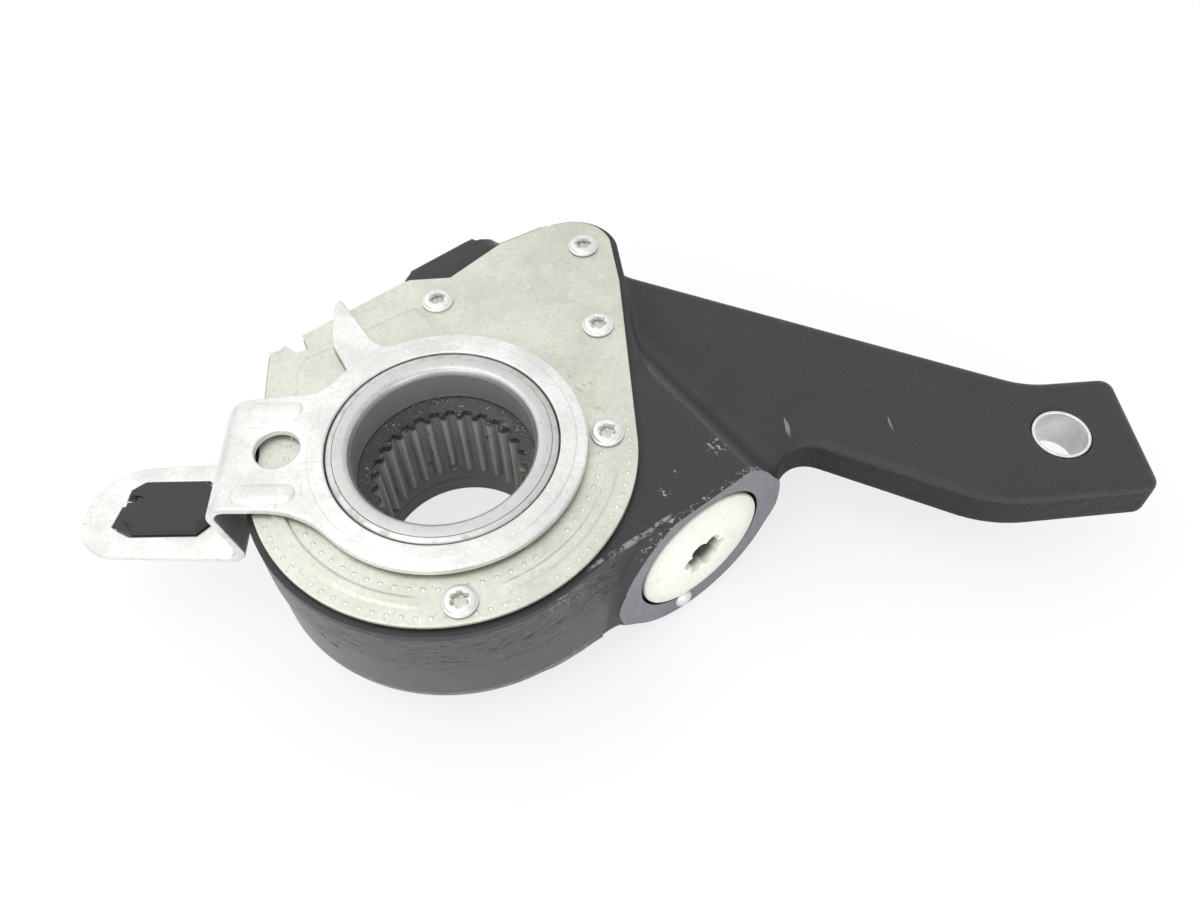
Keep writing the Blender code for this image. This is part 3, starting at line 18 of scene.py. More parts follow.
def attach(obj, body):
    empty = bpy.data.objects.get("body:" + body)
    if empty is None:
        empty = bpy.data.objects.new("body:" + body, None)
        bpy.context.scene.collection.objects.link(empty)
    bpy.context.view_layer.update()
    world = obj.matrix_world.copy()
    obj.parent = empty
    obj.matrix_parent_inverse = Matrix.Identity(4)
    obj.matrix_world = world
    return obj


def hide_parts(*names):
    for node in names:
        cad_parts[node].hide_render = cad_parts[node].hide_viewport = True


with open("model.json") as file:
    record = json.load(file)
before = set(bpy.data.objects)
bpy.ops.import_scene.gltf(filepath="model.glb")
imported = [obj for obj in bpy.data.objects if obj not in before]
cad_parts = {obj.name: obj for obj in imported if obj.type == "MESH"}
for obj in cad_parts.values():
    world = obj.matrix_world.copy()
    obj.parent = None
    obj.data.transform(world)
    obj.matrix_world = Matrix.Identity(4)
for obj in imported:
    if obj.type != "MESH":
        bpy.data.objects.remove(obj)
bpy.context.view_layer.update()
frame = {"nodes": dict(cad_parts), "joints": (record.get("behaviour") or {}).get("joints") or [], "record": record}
nodes = frame["nodes"]
joints = {joint["name"]: joint for joint in frame["joints"]}
BORE = np.array(joints["worm_wheel_spin"]["pos_m"]) * (1, 1, 0)
WORM = (np.array(joints["worm_spin"]["pos_m"]) - BORE) * 1000
ALONG = np.array(joints["worm_spin"]["axis"])
ACROSS = np.array([-ALONG[1], ALONG[0], 0])
UP = np.array([0.0, 0.0, 1.0])
print("bore at", BORE, "worm axis through", WORM.round(2), "mm")

# %% [markdown]
# ## Surfaces from arrays
# Every new piece is a grid of points, all worked out at once. A grid can close on itself in one direction,
# like a turned ring, or in both, like a hoop. Rows that shrink to a point become a pole.

# %% Grid to mesh
MM = 0.001


def grid_mesh(name, points, wrap_rows=True, wrap_columns=False, sharp=32, place=None):
    """Makes a mesh of a (rows, columns, 3) grid in mm; its signed volume tells which way its faces turn."""
    rows, columns = points.shape[:2]
    r, c = np.indices((rows - (not wrap_rows), columns - (not wrap_columns)))
    r2, c2 = (r + 1) % rows, (c + 1) % columns
    corners = (r * columns + c, r2 * columns + c, r2 * columns + c2, r * columns + c2)
    quads = np.stack(corners, axis=-1).reshape(-1, 4)
    flat = points.reshape(-1, 3)
    if place is not None:
        flat = flat @ place[:3, :3].T + place[:3, 3]
    a, b, d, e = (flat[quads[:, k]] for k in range(4))
    volume = np.sum(np.cross(a, b) * d) + np.sum(np.cross(a, d) * e)
    if volume < 0:
        quads = quads[:, ::-1]
    data = bpy.data.meshes.new(name)
    data.from_pydata(flat * MM + BORE, [], quads)
    weld(data)
    data.shade_smooth()
    data.set_sharp_from_angle(angle=math.radians(sharp))
    return data


def weld(data, distance=0.000002):
    """Merges points that coincide, which closes seams and poles."""
    mesh = bmesh.new()
    mesh.from_mesh(data)
    bmesh.ops.remove_doubles(mesh, verts=mesh.verts, dist=distance)
    bmesh.ops.dissolve_degenerate(mesh, edges=mesh.edges, dist=distance / 10)
    mesh.to_mesh(data)
    mesh.free()


def coordinates(data):
    """A mesh's points as an array."""
    made = np.empty(len(data.vertices) * 3, np.float32)
    data.vertices.foreach_get("co", made)
    return made.reshape(-1, 3).astype(float)


def move_points(data, points):
    """Moves a mesh's points to places in mm from the bore's axis."""
    data.vertices.foreach_set("co", (points * MM + BORE).astype(np.float32).ravel())


def linked(name, data):
    """A new object in the scene that shows some data."""
    thing = bpy.data.objects.new(name, data)
    bpy.context.scene.collection.objects.link(thing)
    return thing


def piece(name, data, body, material, slot, *replaced):
    """Shows a mesh as a piece that rides on a body and stands for solids of the frame."""
    thing = linked(name, data)
    data.materials.clear()
    data.materials.append(material)
    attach(thing, body)
    if replaced:
        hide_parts(*replaced)
    print(f"{name}: {len(data.polygons)} faces")
    return thing


# %% [markdown]
# ## Turned shapes
# A turned piece is a profile of (radius, height) points carried round an axis. No real edge is razor sharp,
# so each corner of a profile can have a small radius, and that is what catches the light.

# %% Profiles and lathe
def soft(corners, steps=4):
    """Rounds each (x, y, radius) corner by an arc whose centre lies on the corner's bisector."""
    corners = np.array(corners, float)
    made = []
    for k, (x, y, radius) in enumerate(corners):
        here = np.array([x, y])
        before, after = corners[k - 1][:2] - here, corners[(k + 1) % len(corners)][:2] - here
        if radius <= 0:
            made.append(here[None])
            continue
        before, after = before / np.hypot(*before), after / np.hypot(*after)
        half = math.acos(np.clip(before @ after, -1, 1)) / 2
        reach = radius / math.tan(half)
        centre = here + (before + after) / np.hypot(*(before + after)) * radius / math.sin(half)
        a, b = here + before * reach - centre, here + after * reach - centre
        t = np.linspace(0, 1, steps + 1)[:, None]
        sweep = math.pi - 2 * half
        made.append(centre + (np.sin((1 - t) * sweep) * a + np.sin(t * sweep) * b) / math.sin(sweep))
    return np.concatenate(made)


def lathe(name, profile, steps=192, closed=True, wobble=None, sharp=32, place=None):
    """Turns a profile about z: x = r cos a, y = r sin a. wobble(r, angle, z) may change the radius."""
    angle = np.linspace(0, 2 * math.pi, steps, endpoint=False)[:, None]
    r, z = (profile[None, :, k] + 0 * angle for k in range(2))
    if wobble:
        r = wobble(r, angle, z)
    points = np.stack([r * np.cos(angle), r * np.sin(angle), z], axis=-1)
    return grid_mesh(name, points, True, closed, sharp, place)


def frame_matrix(origin, x_axis, z_axis):
    """A placement in mm with its x and z along two directions."""
    placed = np.eye(4)
    placed[:3] = np.column_stack([x_axis, np.cross(z_axis, x_axis), z_axis, origin])
    return placed


WORM_FRAME = frame_matrix(WORM, -ACROSS, ALONG)

# %% [markdown]
# ## Shader maths as Python
# Patterns are easier to read as formulas than as node trees. A small class wraps a socket, and its operators
# add Math nodes, so a mask can be written like ordinary arithmetic.

# %% The socket wrapper
class Wire:
    """A shader socket that arithmetic can be done on."""

    def __init__(self, tree, socket):
        self.tree, self.socket = tree, socket

    def node(self, kind, settings=(), **inputs):
        """Adds a node: settings are set first, then inputs are given values or links."""
        made = self.tree.nodes.new(kind)
        for key, value in dict(settings).items():
            setattr(made, key, value)
        for key, value in inputs.items():
            socket = made.inputs[int(key[1:]) if key[0] == "_" else key.replace("_", " ")]
            if isinstance(value, Wire):
                self.tree.links.new(value.socket, socket)
            else:
                socket.default_value = value
        return made

    def wire(self, kind, settings=(), output=0, **inputs):
        """An output of a new node, as a wire."""
        return Wire(self.tree, self.node(kind, settings, **inputs).outputs[output])

    def math(self, operation, *others):
        """A Math node whose first input is this wire."""
        inputs = {f"_{slot}": value for slot, value in enumerate((self, *others))}
        return self.wire("ShaderNodeMath", {"operation": operation}, **inputs)

    def __add__(self, other):
        return self.math("ADD", other)

    def __mul__(self, other):
        return self.math("MULTIPLY", other)

    def __sub__(self, other):
        return self.math("SUBTRACT", other)

    def __rsub__(self, other):
        return self.wire("ShaderNodeMath", {"operation": "SUBTRACT"}, _0=other, _1=self)

    __radd__ = __add__
    __rmul__ = __mul__

    def step(self, low, high):
        """0 below low, 1 above high and a smooth ramp between; low may exceed high for a falling ramp."""
        if low > high:
            return 1 - self.step(high, low)
        return self.wire("ShaderNodeMapRange", {"interpolation_type": "SMOOTHSTEP"}, Value=self,
                         From_Min=low, From_Max=high)

    def band(self, low, high, blur):
        """1 between low and high, with blurred ends."""
        return self.step(low - blur, low + blur) * self.step(high + blur, high - blur)

    def noise(self, scale, detail=3.0, roughness=0.55, stretch=(1, 1, 1)):
        """Fractal noise of this vector; scale is features a metre."""
        spread = self.wire("ShaderNodeVectorMath", {"operation": "MULTIPLY"}, _0=self, _1=stretch)
        return self.wire("ShaderNodeTexNoise", output="Fac", Vector=spread, Scale=scale, Detail=detail,
                         Roughness=roughness)

    def mix(self, first, second):
        """A colour that runs from first to second as this mask goes from 0 to 1."""
        first, second = (end if isinstance(end, Wire) else (*end, 1) for end in (first, second))
        return self.wire("ShaderNodeMix", {"data_type": "RGBA"}, 2, _0=self, _6=first, _7=second)


class Finish:
    """A Principled material under construction, with Object coordinates in metres from the bore's axis."""

    def __init__(self, name, origin=BORE, **fixed):
        self.material = bpy.data.materials.new(name)
        self.material.use_nodes = True
        self.tree = self.material.node_tree
        self.shader = self.tree.nodes["Principled BSDF"]
        for key, value in fixed.items():
            self.shader.inputs[key.replace("_", " ")].default_value = value
        source = Wire(self.tree, self.tree.nodes.new("ShaderNodeTexCoord").outputs["Object"])
        self.place = source.wire("ShaderNodeMapping", Vector=source, Location=tuple(-np.array(origin)))
        self.noise = self.place.noise
        split = self.place.node("ShaderNodeSeparateXYZ", Vector=self.place)
        self.x, self.y, self.z = (Wire(self.tree, split.outputs[k]) for k in range(3))
        self.radius = (self.x * self.x + self.y * self.y).math("SQRT")
        self.angle = self.y.math("ARCTAN2", self.x)

    def along(self, axis):
        """Distance along a level direction."""
        return self.x * float(axis[0]) + self.y * float(axis[1])

    def drive(self, **links):
        """Links sockets of the shader, such as Base_Color or Roughness, to wires."""
        for key, wire in links.items():
            self.tree.links.new(wire.socket, self.shader.inputs[key.replace("_", " ")])

    def bump(self, height, distance):
        """Tilts the normal by a height wire, given in units of distance."""
        made = height.node("ShaderNodeBump", Height=height, Distance=distance, Strength=1.0)
        self.tree.links.new(made.outputs[0], self.shader.inputs["Normal"])
        return self


def layered(base, *layers):
    """Lays colours over a base one after the other, each where its mask is set."""
    for mask, colour in layers:
        base = mask.mix(base, colour)
    return base


# %% [markdown]
# ## Flat outlines
# The cover and the control arm are stamped from sheet, so they start as outlines. Signed distance to an
# outline, negative inside, is the tool that turns a flat shape into a step, a bead or a cast block.

# %% Outline helpers
def arc(centre, radius, start, end, steps):
    """Points on an arc, angles in degrees."""
    angle = np.radians(np.linspace(start, end, steps + 1))
    return np.stack([centre[0] + radius * np.cos(angle), centre[1] + radius * np.sin(angle)], axis=-1)


def even(outline, spacing, count=0):
    """Adds points along a closed outline, no further apart than spacing, or a fixed count to each edge."""
    made = []
    for a, b in zip(outline, np.roll(outline, -1, axis=0)):
        steps = count or max(1, int(math.ceil(np.hypot(*(b - a)) / spacing)))
        made.append(a + (b - a) * np.linspace(0, 1, steps, endpoint=False)[:, None])
    return np.concatenate(made)


def distance_to(outline, points):
    """Signed distance in the plane to a closed outline: its nearest edge, negative inside."""
    best = np.full(len(points), 1e9)
    inside = np.zeros(len(points), bool)
    x, y = points[:, 0], points[:, 1]
    for a, b in zip(outline, np.roll(outline, -1, axis=0)):
        edge = b - a
        share = np.clip(((x - a[0]) * edge[0] + (y - a[1]) * edge[1]) / max(edge @ edge, 1e-9), 0, 1)
        best = np.minimum(best, np.hypot(x - a[0] - share * edge[0], y - a[1] - share * edge[1]))
        if a[1] != b[1]:
            crosses = (a[1] > y) != (b[1] > y)
            inside ^= crosses & (x < (b[0] - a[0]) * (y - a[1]) / (b[1] - a[1]) + a[0])
    return np.where(inside, -best, best)


COVER_LEFT, COVER_R = 43.2, 45.3
SCREWS = np.array([(38.0, 63.4), (39.3, 34.6), (38.3, 0.6), (3.0, -40.1), (-1.1, 47.6)])
SEAT_Z, COVER_Z, SHEET_TOP = 45.6, 46.5, 47.5


def cover_outline(grow=0.0):
    """The cover from above, clockwise: a circle that runs into a straight left side, a notched corner, a
    slanted shoulder and a rounded apex."""
    meet = math.degrees(math.acos(-(COVER_LEFT + grow) / (COVER_R + grow)))
    tilt = ALONG[:2] * -grow
    left = np.array([
        (-COVER_LEFT - grow, 34.8 + grow), (-41.0, 35.6), (-39.8, 37.1), (-36.6, 34.2), (-33.9, 35.2)])
    left[1:] += (tilt[0], grow)
    shoulder = np.array([
        (-35.5, 40.0), (-9.7, 56.1), (-8.4, 56.5), (2.2, 56.2), (15.8, 67.4), (28.5, 73.0)]) + tilt
    right = np.array([(46.3 + grow, 50.0), (45.7 + grow, 20.0)])
    return np.concatenate([arc((0, 0), COVER_R + grow, 0, -meet, 60), left, shoulder,
                           arc((34.9, 63.1), 10.7 + grow, 118, 12, 16), right])


# %% [markdown]
# ## The casting
# The body is cast iron, and what tells a casting from a machined block is that every inside corner runs out
# in a fillet. Distance fields give all the fillets in one formula: the distance to a union of two shapes is
# the smaller of both distances, and a rounded minimum leaves a fillet of a chosen radius. A voxel mesh of the
# rough shapes gives the points, and Newton steps move them onto the field.

# %% Distance fields of the casting
def rounded_min(a, b, radius):
    """Union of two fields with a fillet: inside the corner, radius minus the distance to the arc's centre."""
    u, v = np.maximum(radius - a, 0), np.maximum(radius - b, 0)
    return np.maximum(radius, np.minimum(a, b)) - np.hypot(u, v)


def rounded_max(a, b, radius):
    """Overlap of two fields with its edge rounded."""
    return -rounded_min(-a, -b, radius)


def block(flat, z, low, high, edge):
    """A prism with rounded edges from its plan distance and its height."""
    a, b = flat + edge, np.abs(z - (low + high) / 2) - (high - low) / 2 + edge
    return np.minimum(np.maximum(a, b), 0) + np.hypot(np.maximum(a, 0), np.maximum(b, 0)) - edge


# Plan of the cranked arm, anticlockwise from the apex block along its near side to the clevis end and back.
LEVER = soft([
    (40.0, 73.2, 0), (34.0, 40.0, 0), (40.0, 12.0, 0), (76.0, -8.0, 0), (86.5, 6.5, 7.5),
    (131.0, -18.4, 34.0), (171.1, -18.3, 3.5), (171.1, 16.4, 3.5), (148.8, 16.9, 24.0)], 10)
FLANGE = cover_outline(0.7)
APEX = np.array([(2.0, 20.0), (80, 0), (80, 100), (2.0, 100.0)])
WEB = np.array([(20.0, -38.0), (33.0, -32.6), (41.0, -28.2), (49.6, -22.8), (55.0, -12.0), (30.0, -10.0)])
HUB_R, HUB_LOW, REAR_R = 46.0, 11.8, 33.0
LEVER_LOW, LEVER_TOP = 19.4, 31.4
BOSS_R, BOSS_FACE, TAIL_END = 24.6, 48.5, -61.5


def casting(p):
    """Distance to the cast body for points in mm: hub, rear boss, flange, apex block, worm boss, tail, the
    web between hub and worm boss, and the arm."""
    x, y, z = p.T
    r = np.hypot(x, y)
    local = p - WORM
    along, across, height = local @ ALONG, local @ ACROSS, local[:, 2]
    out = np.hypot(across, height)
    plan = p[:, :2]
    flange, arm = distance_to(FLANGE, plan), distance_to(LEVER, plan)
    hub = block(r - HUB_R - 0.8 * (SEAT_Z - z) / 34.0, z, HUB_LOW, 60, 4.0)
    rear = block(r - REAR_R - 0.02 * (12 - z), z, 0.5, 30, 1.0)
    lobe = block(flange, z, 30.0, 60, 1.5)
    apex = block(np.maximum(flange, distance_to(APEX, plan)), z, LEVER_LOW, 60, 2.0)
    flat_side = 0.7071 * (height - across) - 19.0 - 0.45 * (BOSS_FACE - along)
    round_side = out - BOSS_R - 0.012 * (BOSS_FACE - along)
    boss = block(rounded_max(round_side, flat_side, 5.0), along, -17.0, 56.0, 2.0)
    wide, tall = np.abs(across - 0.6), np.abs(height)
    chamfer = 0.729 * wide + 0.684 * tall - 19.64
    section = rounded_max(rounded_max(tall - 15.5, chamfer, 1.2), wide - 18.3, 2.0)
    tail = block(section - 0.02 * (along - TAIL_END), along, TAIL_END, 5.0, 1.2)
    web = block(distance_to(WEB, plan) - 0.065 * (SEAT_Z - z), z, 12.5, 60, 1.2)
    lever = block(arm, z, LEVER_LOW, LEVER_TOP, 2.0)
    field = hub
    for other, fillet in ((rear, 3.0), (lobe, 3.0), (boss, 5.0), (tail, 4.0), (apex, 4.0), (web, 3.0),
                          (lever, 6.0)):
        field = rounded_min(field, other, fillet)
    return field


# %% [markdown]
# The rough shapes need only the right topology. Blender's voxel remesh melts them into one skin with even
# quads, and the Newton steps then make it exact.

# %% The casting's skin
def prism(outline, low, high):
    """A closed prism on an outline, as a grid of rings that ends in its two middles."""
    middle = outline.mean(axis=0) + 0 * outline
    rings = [(middle, low), (outline, low), (outline, high), (middle, high)]
    return np.stack([np.column_stack([ring, np.full(len(ring), z)]) for ring, z in rings], axis=1)


def turned(*corners, place=None, steps=96):
    """A plain turned solid, used as rough shape or cutter: (radius, height) corners from end to end."""
    profile = np.array([(0, corners[0][1]), *corners, (0, corners[-1][1])], float)
    return lathe("turned", profile, steps, False, place=place)


def drum(radius, low, high, place=None):
    """A plain cylinder between two heights."""
    return turned((radius, low), (radius, high), place=place)


def merged(datas):
    """Joins meshes into one object."""
    mesh = bmesh.new()
    for data in datas:
        mesh.from_mesh(data)
    data = bpy.data.meshes.new("merged")
    mesh.to_mesh(data)
    mesh.free()
    return linked("merged", data)


def applied(thing):
    """The mesh of an object with its modifiers applied; the object is removed."""
    bpy.context.view_layer.update()
    data = bpy.data.meshes.new_from_object(thing.evaluated_get(bpy.context.evaluated_depsgraph_get()))
    bpy.data.objects.remove(thing, do_unlink=True)
    return data


def carved(data, cutters):
    """Cuts a list of closed meshes out of a mesh."""
    thing = linked("carved", data)
    helpers = [linked("cutter", cutter) for cutter in cutters]
    for helper in helpers:
        cut = thing.modifiers.new("cut", "BOOLEAN")
        cut.solver, cut.operation, cut.object = "MANIFOLD", "DIFFERENCE", helper
    made = applied(thing)
    for helper in helpers:
        bpy.data.objects.remove(helper, do_unlink=True)
    return made


def rough_prism(outline, low, high, spacing=4):
    """The rough shape of a prism, with points all along its outline."""
    return grid_mesh("prism", prism(even(outline, spacing), low, high))


APEX_BLOCK = np.array([(4, 24), (46.5, 20), (46.9, 50), (45.5, 66), (36, 74), (15, 67), (5, 58)], float)
VOXEL, NEWTON_STEPS, PROBE, FURTHEST_STEP = 0.00105, 6, 0.05, 1.2
rough = merged([
    drum(46.4, 12.5, 52), drum(33.0, 1.0, 14), rough_prism(LEVER, 19.6, 31.2), rough_prism(FLANGE, 31, 52),
    drum(24.6, -16, 54, WORM_FRAME), drum(17.6, -61, 0, WORM_FRAME), rough_prism(APEX_BLOCK, 19.8, 52),
    rough_prism(WEB, 13, 52, 3)])
melt = rough.modifiers.new("melt", "REMESH")
melt.mode, melt.voxel_size, melt.adaptivity = "VOXEL", VOXEL, 0.0
skin = applied(rough)
points = (coordinates(skin) - BORE) * 1000
for _ in range(NEWTON_STEPS):
    field = casting(points)
    slope = np.stack([casting(points + axis * PROBE) - field for axis in np.eye(3)], axis=1) / PROBE
    slope /= np.maximum(np.linalg.norm(slope, axis=1, keepdims=True), 0.3)
    points -= slope * np.clip(field, -FURTHEST_STEP, FURTHEST_STEP)[:, None]
move_points(skin, points)
print(f"casting: {len(points)} points, furthest from its field {np.abs(casting(points)).max():.2f} mm")

# %% [markdown]
# After casting, the body is machined: the seat under the cover is faced flat, the worm boss is faced square
# to its bore, and the wheel and worm rooms are bored. Cutting after the fillets leaves those edges crisp.

# %% Machining
LEVER_LENGTH, PIN_R, PIN_TURN = 152.4, 19.5, math.radians(76)


def slab(low, high, along, across):
    """A square block between two heights, two stations along the worm axis and two across it."""
    corners = np.array([(along[i], across[j]) for i, j in ((0, 0), (1, 0), (1, 1), (0, 1))])
    outline = corners[:, :1] * ALONG[:2] + corners[:, 1:] * ACROSS[:2]
    return grid_mesh("slab", prism(outline, low, high))


SHAFT = (np.array(joints["control_worm_spin"]["pos_m"]) - BORE) * 1000 * (1, 1, 0)
SHAFT_FRAME = frame_matrix(SHAFT, ACROSS, UP)
EYE_FRAME = frame_matrix((LEVER_LENGTH, 0, 0), (1, 0, 0), UP)
LOCK_PIN = WORM_FRAME @ np.array([PIN_R * math.cos(PIN_TURN), PIN_R * math.sin(PIN_TURN), BOSS_FACE, 1])
PIN_FRAME = frame_matrix(LOCK_PIN[:3], -ACROSS, ALONG)
wheel_room = turned((35.4, 50), (35.4, 41.6), (31.2, 41.6), (31.2, 13.6), (28, 13.6), (28, -1), steps=128)
worm_room = turned((18.4, 50), (18.4, 45.5), (16.9, 45.5), (16.9, 38.5), (15, 38), (15, 19.3), (12.7, 19),
                   (12.7, -36), (9.4, -36), (9.4, -48), (6.4, -48), (6.4, -56), (9.4, -56), (9.4, -63),
                   place=WORM_FRAME)
shaft_room = turned((7.3, 50), (7.3, 41.6), (5.35, 41.6), (5.35, 16.2), (2.8, 16.2), (2.8, 12.4),
                    place=SHAFT_FRAME, steps=48)
eye_hole = turned((8.4, 33), (8.4, 31.5), (7.55, 30.9), (7.55, 19.9), (8.4, 19.3), (8.4, 18), place=EYE_FRAME)
pin_hole = turned((1.3, 2), (1.3, -7.2), place=PIN_FRAME, steps=32)
screw_holes = [turned((2.25, 48), (2.25, 39.9), place=frame_matrix((*place, 0), (1, 0, 0), UP), steps=32)
               for place in SCREWS]
skin = carved(skin, [
    drum(120, SEAT_Z, 70), slab(-5, 60, (BOSS_FACE, 64), (6, 65)), slab(0, 60, (-75, TAIL_END), (15, 62)),
    wheel_room, worm_room, shaft_room, eye_hole, pin_hole] + screw_holes)
skin.shade_smooth()
skin.set_sharp_from_angle(angle=math.radians(38))

# %% [markdown]
# ### Black paint on cast iron
# The casting is sprayed satin black. On the side walls the sand mould's grain shows through, while the top is
# smoother. Handling has chipped a few edges down to grey metal, and the face round the cap was machined after
# painting, so it is bare. Light and shade are painted in as well: the front of the hub wall and its low lip
# lighter, the lever's side darker, shade in the pits and glints on the rough band, and a highlight along the web's
# edge.

# %% Black paint
paint = Finish("black_paint", Metallic=0.0, Specular_IOR_Level=0.4)
grain = paint.noise(420, 4, 0.6)
lumps = paint.noise(90, 3, 0.5)
dust = paint.noise(1600, 2, 0.6)
drag = paint.noise(800, 5, 0.7, (0.35, 0.35, 1.3))
local_x, local_y = paint.along(ALONG), paint.along(ACROSS)
wall = paint.z.step(0.0452, 0.0435)
lit_hub_wall = paint.radius.band(0.044, 0.0484, 0.0004) * paint.y.step(0.004, -0.01) * wall
rough_top = lit_hub_wall * paint.z.step(0.022, 0.036)
bare_face = local_x.step(0.04838, 0.04846) * local_y.band(0.006, 0.066, 0.0005)
shaded_lever_side = paint.radius.step(0.0495, 0.052) * paint.z.step(0.03, 0.029)
# The low lip of the hub wall is painted lighter: painted light bounced up from the floor.
bounce_lit_lip = paint.radius.band(0.0415, 0.0478, 0.0004) * paint.z.band(0.0112, 0.0163, 0.0003)
bounce_lit_lip = bounce_lit_lip * grain.step(0.36, 0.56)

# %% Chips, scratches, one gouge and a painted highlight on the web's edge
chips = paint.noise(170, 6, 0.75).step(0.715, 0.735) * paint.noise(38, 2).step(0.5, 0.6)
scratch = paint.noise(120, 2, 0.4, (3.2, 0.35, 1.0)).step(0.74, 0.76) * paint.noise(30, 1).step(0.52, 0.6)
crumbs = paint.noise(800, 3, 0.7).step(0.54, 0.6)
boss_edge = local_x.band(0.0468, 0.0485, 0.0002) * paint.z.step(0.037, 0.043) * crumbs
# A painted highlight along the web's top edge, laid in with the grey of the chips.
web_line = (paint.x * -0.508 + paint.y * 0.861 + 0.04483).math("ABSOLUTE").step(0.0007, 0.0002)
web_edge_highlight = web_line * paint.z.step(0.0438, 0.0448) * paint.x.band(0.031, 0.05, 0.001)
web_edge_highlight = web_edge_highlight * paint.noise(500, 3).step(0.4, 0.55)
wear_and_edge_highlight = (chips + scratch * 0.6 + boss_edge + web_edge_highlight * 0.8).math("MINIMUM", 1.0)
FLAKES = ((0.0635, -0.0045, 0.003), (0.0618, -0.0093, 0.0009), (0.05, -0.0158, 0.0018),
          (0.053, -0.01, 0.0009))
for flake_x, flake_y, reach in FLAKES:
    spot = (paint.x - flake_x).math("POWER", 2.0) + (paint.y - flake_y).math("POWER", 2.0)
    spot = spot.math("SQRT").step(reach, reach * 0.5) * paint.noise(700, 3, 0.7).step(0.56, 0.6)
    wear_and_edge_highlight = wear_and_edge_highlight.math("MAXIMUM", spot)
gouge_v = paint.z - 0.03
gouge = (paint.x * 0.792 - paint.y * 0.61 + gouge_v * 0.35).math("ABSOLUTE").step(0.0012, 0.0005)
gouge = gouge * gouge_v.band(-0.0026, 0.0026, 0.0005) * paint.y.step(-0.03, -0.032)

# %% Paint colour and relief
machined = paint.noise(900, 2, 0.5, (1, 1, 0.15))
base = layered(
    lumps.mix((0.025, 0.025, 0.026), (0.038, 0.038, 0.04)),
    # The lever's side wall is painted darker: painted shade.
    (shaded_lever_side, (0.01, 0.01, 0.011)),
    # The front of the hub wall is painted lighter: painted light.
    (lit_hub_wall, grain.mix((0.046, 0.047, 0.051), (0.08, 0.081, 0.087))),
    # On the hub wall's rough band the pits get painted shade and the grains painted glints.
    (drag.step(0.54, 0.6) * rough_top, (0.008, 0.008, 0.01)),
    (drag.step(0.38, 0.33) * rough_top * 0.7, (0.2, 0.2, 0.21)),
    # Painted light on the low lip, as if bounced from the floor.
    (bounce_lit_lip * 0.8, (0.17, 0.17, 0.175)),
    (dust.step(0.6, 0.72), (0.056, 0.056, 0.058)),
    # Grey metal where the paint is chipped, together with the painted highlight on the web's edge.
    (wear_and_edge_highlight, (0.34, 0.34, 0.35)),
    (gouge, (0.006, 0.006, 0.007)),
    (bare_face, machined.mix((0.2, 0.2, 0.225), (0.28, 0.28, 0.305))))
shine = grain * 0.14 + 0.31 - lit_hub_wall * 0.2 + shaded_lever_side * 0.2 + bare_face * 0.08 + wear_and_edge_highlight * 0.1
paint.drive(Base_Color=base, Roughness=shine, Metallic=bare_face * 0.45 + wear_and_edge_highlight * 0.3)
paint.bump(grain * 0.5 * wall + drag * 0.6 * wall + drag * rough_top * 1.2 + lumps * 0.9 + dust * 0.3
           - wear_and_edge_highlight * 0.4 - gouge * 3.0, 0.00035)
piece("cast_body", skin, "body", paint.material, "black_paint", "housing")

# %% [markdown]
# ## The cover
# The cover is pressed from plated sheet. A raised middle stiffens it, and flat lands stay low where the
# screws clamp. The sheet is a grid from the outline in to the hole. Its height follows the distance to the
# outlines of the pressed forms: a plateau, a small panel beside the pointer and a bead on the round side.

# %% Cover sheet
PLATEAU = np.array([
    (-20.6, 39.5), (-7.6, 46.0), (6, 51), (20, 56), (32, 50), (37, 30), (37, 8), (0, 0), (-17.0, 32.5)])
PANEL = soft([
    (-36.2, 14.0, 0), (-36.0, 31.2, 5.5), (-27.0, 35.6, 0.8), (-23.4, 27.8, 0.5), (-16.0, 14.0, 0)], 6)
PLATEAU_HEIGHT, BEAD_IN, BEAD_OUT, BEAD_HEIGHT = 0.4, 38.5, 40.9, 0.28
LOWER_SCREW = SCREWS[3]


def ease(share):
    """A smooth ramp: 0 below 0, 1 above 1."""
    share = np.clip(share, 0, 1)
    return share * share * (3 - 2 * share)


def cover_height(points):
    """Height of the sheet above its flange: a plateau with one crisp edge, a panel beside the pointer's
    channel, and a bead along the round side that fades out at the lower screw."""
    x, y = points.T
    r, angle = np.hypot(x, y), np.degrees(np.arctan2(y, x))
    crisp = 0.9 + 10.0 * ease((x + 8.0) / 7.0)
    plateau, panel = -distance_to(PLATEAU, points) / crisp, -distance_to(PANEL, points) / 0.9
    raised = np.maximum(ease(plateau), ease(panel))
    clear = ease((np.hypot(x - LOWER_SCREW[0], y - LOWER_SCREW[1]) - 8.0) / 4.0)
    reach = ease((-13.0 - angle) / 5.0) * ease((angle + 176.0) / 8.0)
    across = ease((r - BEAD_IN + 0.3) / 0.6) * ease((BEAD_OUT + 0.3 - r) / 0.6)
    return PLATEAU_HEIGHT * raised + BEAD_HEIGHT * across * clear * reach


